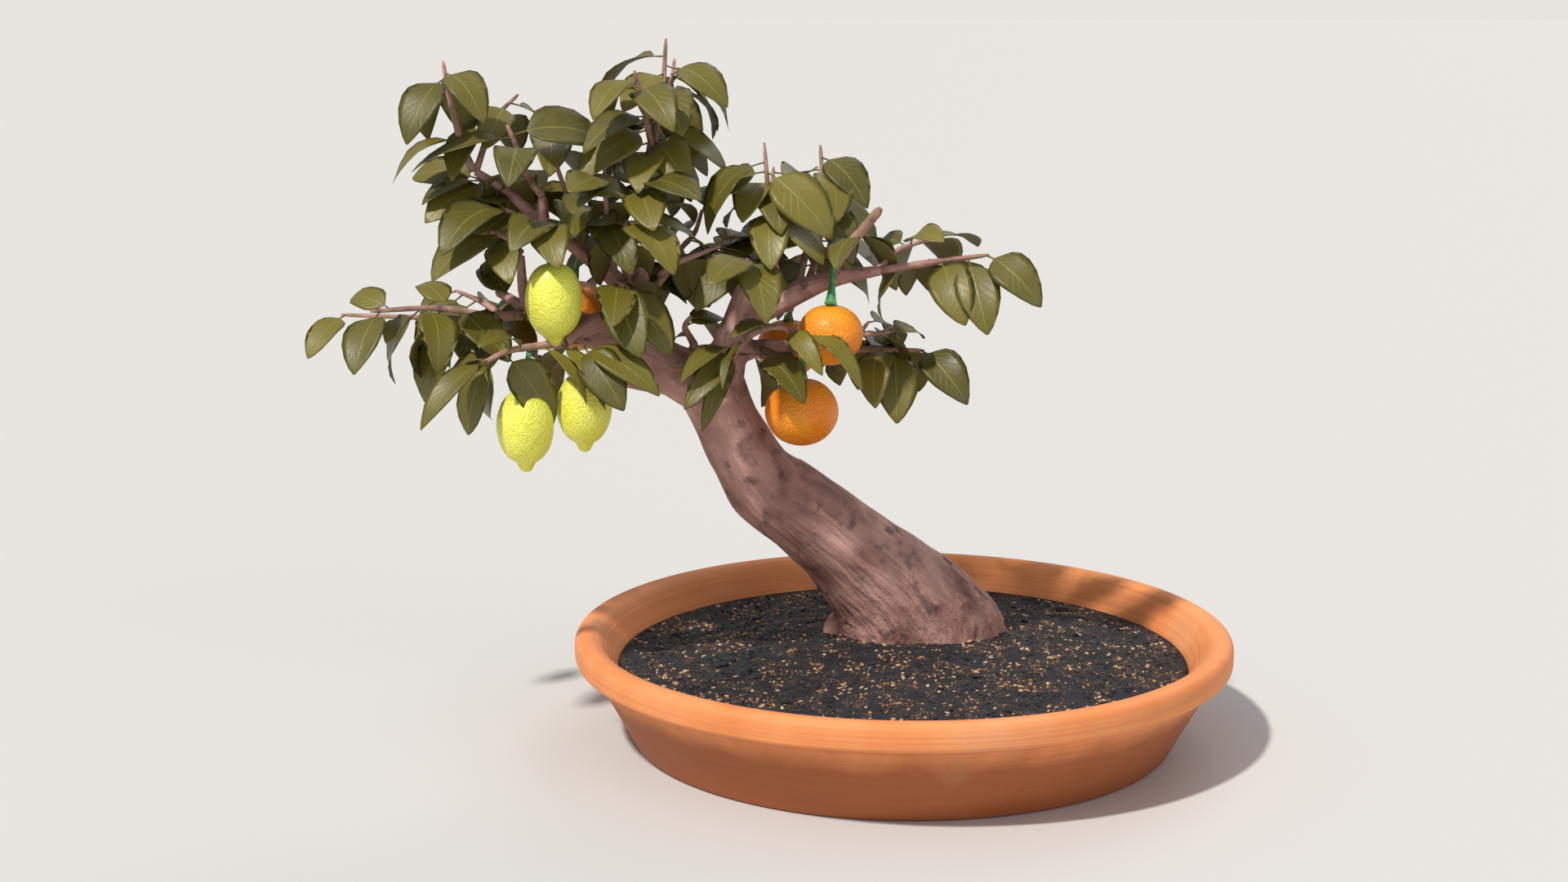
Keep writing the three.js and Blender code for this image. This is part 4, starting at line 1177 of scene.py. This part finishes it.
def leafPose(entry, chance):
    # One leaf's own size, directions and bends
    shape = leafShape
    yaw = math.radians(entry[1] + chance.uniform(-1, 1) * shape["turnSpread"])
    droop = math.radians(entry[2] + chance.uniform(-1, 1) * shape["turnSpread"])
    length = entry[3] if len(entry) > 3 else shape["length"]
    length *= mm * (1 + chance.uniform(-1, 1) * shape["sizeSpread"])
    width = entry[4] if len(entry) > 4 else shape["width"]
    width *= chance.uniform(*shape["widthSpread"])
    ahead = Vector((math.cos(droop) * math.cos(yaw), math.cos(droop) * math.sin(yaw), -math.sin(droop)))
    facing = Vector(shape["facing"])
    up = (facing - ahead * facing.dot(ahead)).normalized()
    roll = math.radians(chance.uniform(-1, 1) * shape["rollSpread"])
    up.rotate(Matrix.Rotation(roll, 3, ahead))
    return {
        "length": length, "width": width, "ahead": ahead, "up": up, "side": up.cross(ahead),
        "arch": shape["arch"] * chance.uniform(*shape["archSpread"]),
        "fall": shape["tipFall"] * chance.uniform(*shape["fallSpread"]),
        "fold": shape["fold"] * chance.uniform(*shape["foldSpread"]),
        "sway": chance.uniform(-shape["sway"], shape["sway"]),
        "phase": chance.uniform(0, 2 * math.pi),
    }


def bladePoint(pose, ring, across, above):
    # A point of the leaf, from its ring and its place across and above the midrib, from -1 to 1
    shape = leafShape
    place, share, thick = ring
    length = pose["length"]
    stalk = shape["stalkRadius"] * mm * (1 - 0.4 * place)
    half = max(share * length * pose["width"] * shape["blade"], stalk)
    blade = min(1, share * 2)
    wave = math.sin(place * 8 + pose["phase"] + across) * shape["ripple"] * mm * across ** 2 * blade
    lift = pose["arch"] * length * 4 * place * (1 - place) - pose["fall"] * length * place ** 3
    lift += half * pose["fold"] * blade * abs(across) ** 1.4 + wave
    lift += above * thick * mm * 0.5 * (1 - 0.65 * abs(across) * blade)
    aside = across * half + pose["sway"] * length * place ** 2
    return pose["ahead"] * place * length + pose["side"] * aside + pose["up"] * lift


def growLeaf(bm, root, entry, chance):
    # A closed blade on its stalk: the tube's rings are flattened and folded along the midrib
    rings = leafShape["rings"]
    pose = leafPose(entry, chance)
    tones = (chance.random(), chance.random())
    firstVert, firstFace = len(bm.verts), len(bm.faces)
    bm.from_mesh(leafTube)
    bm.verts.ensure_lookup_table()
    bm.faces.ensure_lookup_table()
    plan = {}
    for vert in bm.verts[firstVert:]:
        ring = rings[round((vert.co.z + 0.5) * (len(rings) - 1))]
        across, above = vert.co.x, vert.co.y
        plan[vert] = (across * 0.5 + 0.5, ring[0], above)
        vert.co = root + bladePoint(pose, ring, across, above)
    uv = bm.loops.layers.uv["leafUv"]
    mark = bm.loops.layers.float_color["leafTone"]
    for face in bm.faces[firstFace:]:
        under = 1.0 if sum(plan[vert][2] for vert in face.verts) < 0 else 0.0
        for loop in face.loops:
            loop[uv].uv = plan[loop.vert][:2]
            loop[mark] = (tones[0], under, tones[1], 1)


twigShape = {
    "sides": 10, "ringsPerStation": 6, "budSwell": (0.2, 160), "skinSwell": (0.06, 420), "tip": 0.6,
    # Leaves keep a little way in from both ends of the twig
    "leafPlaces": (0.05, 0.97),
}


def makeShoot(name, shoot, chance):
    bm = bmesh.new()
    bm.verts.layers.float_vector.new("grain")
    bm.loops.layers.uv.new("leafUv")
    bm.loops.layers.float_color.new("leafTone")
    first, last = shoot["radii"]
    stations = [(*point, first + (last - first) * i / (len(shoot["twig"]) - 1))
                for i, point in enumerate(shoot["twig"])]
    places = limbPlaces(stations, twigShape["ringsPerStation"] * (len(stations) - 1))
    # Buds and leaf scars swell the twig a little, and its tip is blunt
    (bud, budScale), (skin, skinScale) = twigShape["budSwell"], twigShape["skinSwell"]
    swells = [1 + bud * max(0, noise.noise(place[0] * budScale))
              + skin * noise.noise(place[0] * skinScale) for place in places]
    swells[-1] = twigShape["tip"]
    markGrain(bm, sweep(bm, places, twigShape["sides"], swells), places)
    for face in bm.faces:
        face.material_index = 1
    points = [Vector(point) * mm for point in shoot["twig"]]
    first, last = twigShape["leafPlaces"]
    for entry in shoot["leaves"]:
        growLeaf(bm, alongLine(points, min(max(entry[0], first), last)), entry, chance)
    return finishPiece(bm, "shoot_" + name, "leaf", ["shoot_" + name], leafFinish, twigBark)


chance = random.Random(leafShape["seed"])
for name, shoot in shoots.items():
    makeShoot(name, shoot, chance)
print("shoots grown:", len(shoots))


# Fruit and the green stalks that carry them

fruits = {
    "lemon_high": {"kind": "lemon", "centre": (-309, -62, 410), "radius": 25, "start": (-316, -58, 468)},
    "lemon_low": {"kind": "lemon", "centre": (-334, -80, 302), "radius": 25, "start": (-330, -76, 366)},
    "lemon_front": {"kind": "lemon", "centre": (-284, -62, 315), "radius": 24, "start": (-292, -58, 368)},
    "orange_right": {"kind": "orange", "centre": (-68, -42, 377), "radius": 29, "start": (-65, -24, 434)},
    "orange_low": {"kind": "orange", "centre": (-93, -14, 303), "radius": 33, "start": (-91, -5, 352)},
    "orange_back": {"kind": "orange", "centre": (-105, 42, 352), "radius": 29, "start": (-103, 16, 391)},
    "orange_left": {"kind": "orange", "centre": (-300, 36, 383), "radius": 35, "start": (-293, 17, 440)},
}
fruitShape = {
    "orange": {"height": 0.93, "fullness": 1.0, "nipple": 0, "nippleWidth": 6, "dimple": 1.8},
    "lemon": {"height": 1.32, "fullness": 0.84, "nipple": 7.5, "nippleWidth": 5.6, "dimple": 1.0},
    "turns": 72, "rings": 44, "dimpleWidth": 9, "lumps": 0.022, "greenFrom": 0.45,
}
stalkShape = {"radii": (2.3, 2.6, 4.9), "sides": 20, "rings": 18, "ribs": 5, "lift": 0.3, "droop": 1.2}


def makeFruit(name, fruit):
    shape = fruitShape[fruit["kind"]]
    centre = Vector(fruit["centre"]) * mm
    radius = fruit["radius"] * mm
    bm = bmesh.new()
    stalkEnd = bm.verts.layers.float.new("stalkEnd")
    bmesh.ops.create_uvsphere(bm, u_segments=fruitShape["turns"], v_segments=fruitShape["rings"],
                              radius=1)
    for vert in bm.verts:
        unit = vert.co.copy()
        flat = Vector((unit.x, unit.y, 0))
        girth = flat.length
        out = flat.normalized() * girth ** shape["fullness"] if girth > 1e-5 else flat
        place = Vector((out.x * radius, out.y * radius, unit.z * shape["height"] * radius))
        if unit.z < 0:
            away = girth * radius / (shape["nippleWidth"] * mm)
            place.z -= shape["nipple"] * mm * math.exp(-away ** 4)
        else:
            away = girth * radius / (fruitShape["dimpleWidth"] * mm)
            place.z -= shape["dimple"] * mm * math.exp(-away ** 2)
        lump = noise.noise(unit * 1.7 + centre * 40) + 0.3 * noise.noise(unit * 6 + centre * 40)
        place += Vector((unit.x, unit.y, 0.3 * unit.z)) * lump * fruitShape["lumps"] * radius
        vert[stalkEnd] = max(0, unit.z - fruitShape["greenFrom"]) / (1 - fruitShape["greenFrom"])
        vert.co = centre + place
    slotName = fruit["kind"] + "_peel"
    return finishPiece(bm, name + "_fruit", slotName, [name], peels[fruit["kind"]])


def makeStalk(name, fruit):
    # Narrow at the limb, ribbed and spread into a scalloped foot on the fruit
    shape = stalkShape
    sides, rings = shape["sides"], shape["rings"]
    start, centre = Vector(fruit["start"]), Vector(fruit["centre"])
    top = fruit["radius"] * fruitShape[fruit["kind"]]["height"]
    foot = centre + Vector((0, 0, top + shape["lift"]))
    stations = [(*point, radius) for point, radius in zip((start, (start + foot) / 2, foot),
                                                          shape["radii"])]
    places = limbPlaces(stations, rings)
    bm = bmesh.new()
    bm.verts.layers.float_vector.new("grain")
    verts = sweep(bm, places, sides)
    markGrain(bm, verts, places)
    for i, vert in enumerate(verts):
        ring, column = divmod(i, sides)
        centreAt = places[ring][0]
        flare = (ring / rings) ** 6
        rib = math.cos(2 * math.pi * column / sides * shape["ribs"])
        vert.co = centreAt + (vert.co - centreAt) * (1 + (0.05 + 0.16 * flare) * rib)
        vert.co.z -= flare * shape["droop"] * mm
    return finishPiece(bm, name + "_greenStalk", "stalk", [name + "_stalk"], stalkFinish)


for name, fruit in fruits.items():
    makeFruit(name, fruit)
    makeStalk(name, fruit)
print("fruit hung:", len(fruits))


# Floor, light and camera

studio = {
    "floorSize": 80, "floor": (0.63, 0.62, 0.61, 1), "floorRoughness": 0.8,
    "air": (0.86, 0.88, 0.92, 1), "airStrength": 0.42, "wall": (0.8, 0.776, 0.742, 1),
    # Distant lamps: where each comes from, strength, angle across and colour
    "lights": {
        "key": ((-0.75, -0.8, 1.5), 3.1, 0.06, (1, 0.96, 0.9)),
        "fill": ((2.2, -2.4, 1.2), 0.5, 0.8, (0.9, 0.95, 1)),
        "rim": ((0.9, 2.0, 1.6), 0.5, 0.6, (1, 0.97, 0.93)),
    },
    "lens": 55.3, "cameraPlace": (-0.1088, -2.142, 0.684), "cameraDip": 0.1894,
}


def makeStage():
    bm = bmesh.new()
    bmesh.ops.create_grid(bm, x_segments=1, y_segments=1, size=studio["floorSize"] / 2)
    mesh = bpy.data.meshes.new("floor")
    bm.to_mesh(mesh)
    bm.free()
    floor = bpy.data.objects.new("floor", mesh)
    bpy.context.scene.collection.objects.link(floor)
    material, tree, shader = newMaterial("floorPaint", 0.2)
    shader.inputs["Base Color"].default_value = studio["floor"]
    shader.inputs["Roughness"].default_value = studio["floorRoughness"]
    mesh.materials.append(material)


def makeLights():
    for name, (place, strength, angle, colour) in studio["lights"].items():
        lamp = bpy.data.lights.new(name, "SUN")
        lamp.energy = strength
        lamp.angle = angle
        lamp.color = colour
        light = bpy.data.objects.new(name, lamp)
        light.location = place
        light.rotation_euler = Vector(place).to_track_quat("Z", "Y").to_euler()
        bpy.context.scene.collection.objects.link(light)


def makeAir():
    # Seen directly the air is as pale as the lit floor; its light is dimmer than that
    world = bpy.data.worlds.new("studioAir")
    world.use_nodes = True
    tree = world.node_tree
    light = tree.nodes["Background"]
    light.inputs["Color"].default_value = studio["air"]
    light.inputs["Strength"].default_value = studio["airStrength"]
    seen = tree.nodes.new("ShaderNodeBackground")
    seen.inputs["Color"].default_value = studio["wall"]
    seen.inputs["Strength"].default_value = 1.0
    path = tree.nodes.new("ShaderNodeLightPath")
    mix = tree.nodes.new("ShaderNodeMixShader")
    tree.links.new(path.outputs["Is Camera Ray"], mix.inputs[0])
    tree.links.new(light.outputs[0], mix.inputs[1])
    tree.links.new(seen.outputs[0], mix.inputs[2])
    tree.links.new(mix.outputs[0], tree.nodes["World Output"].inputs["Surface"])
    bpy.context.scene.world = world


def makeCamera():
    data = bpy.data.cameras.new("camera")
    data.lens = studio["lens"]
    camera = bpy.data.objects.new("camera", data)
    camera.location = studio["cameraPlace"]
    camera.rotation_euler = (math.pi / 2 - studio["cameraDip"], 0, 0)
    bpy.context.scene.collection.objects.link(camera)
    bpy.context.scene.camera = camera


makeStage()
makeLights()
makeAir()
makeCamera()
bpy.context.scene.view_settings.view_transform = "Standard"
print("stage set")
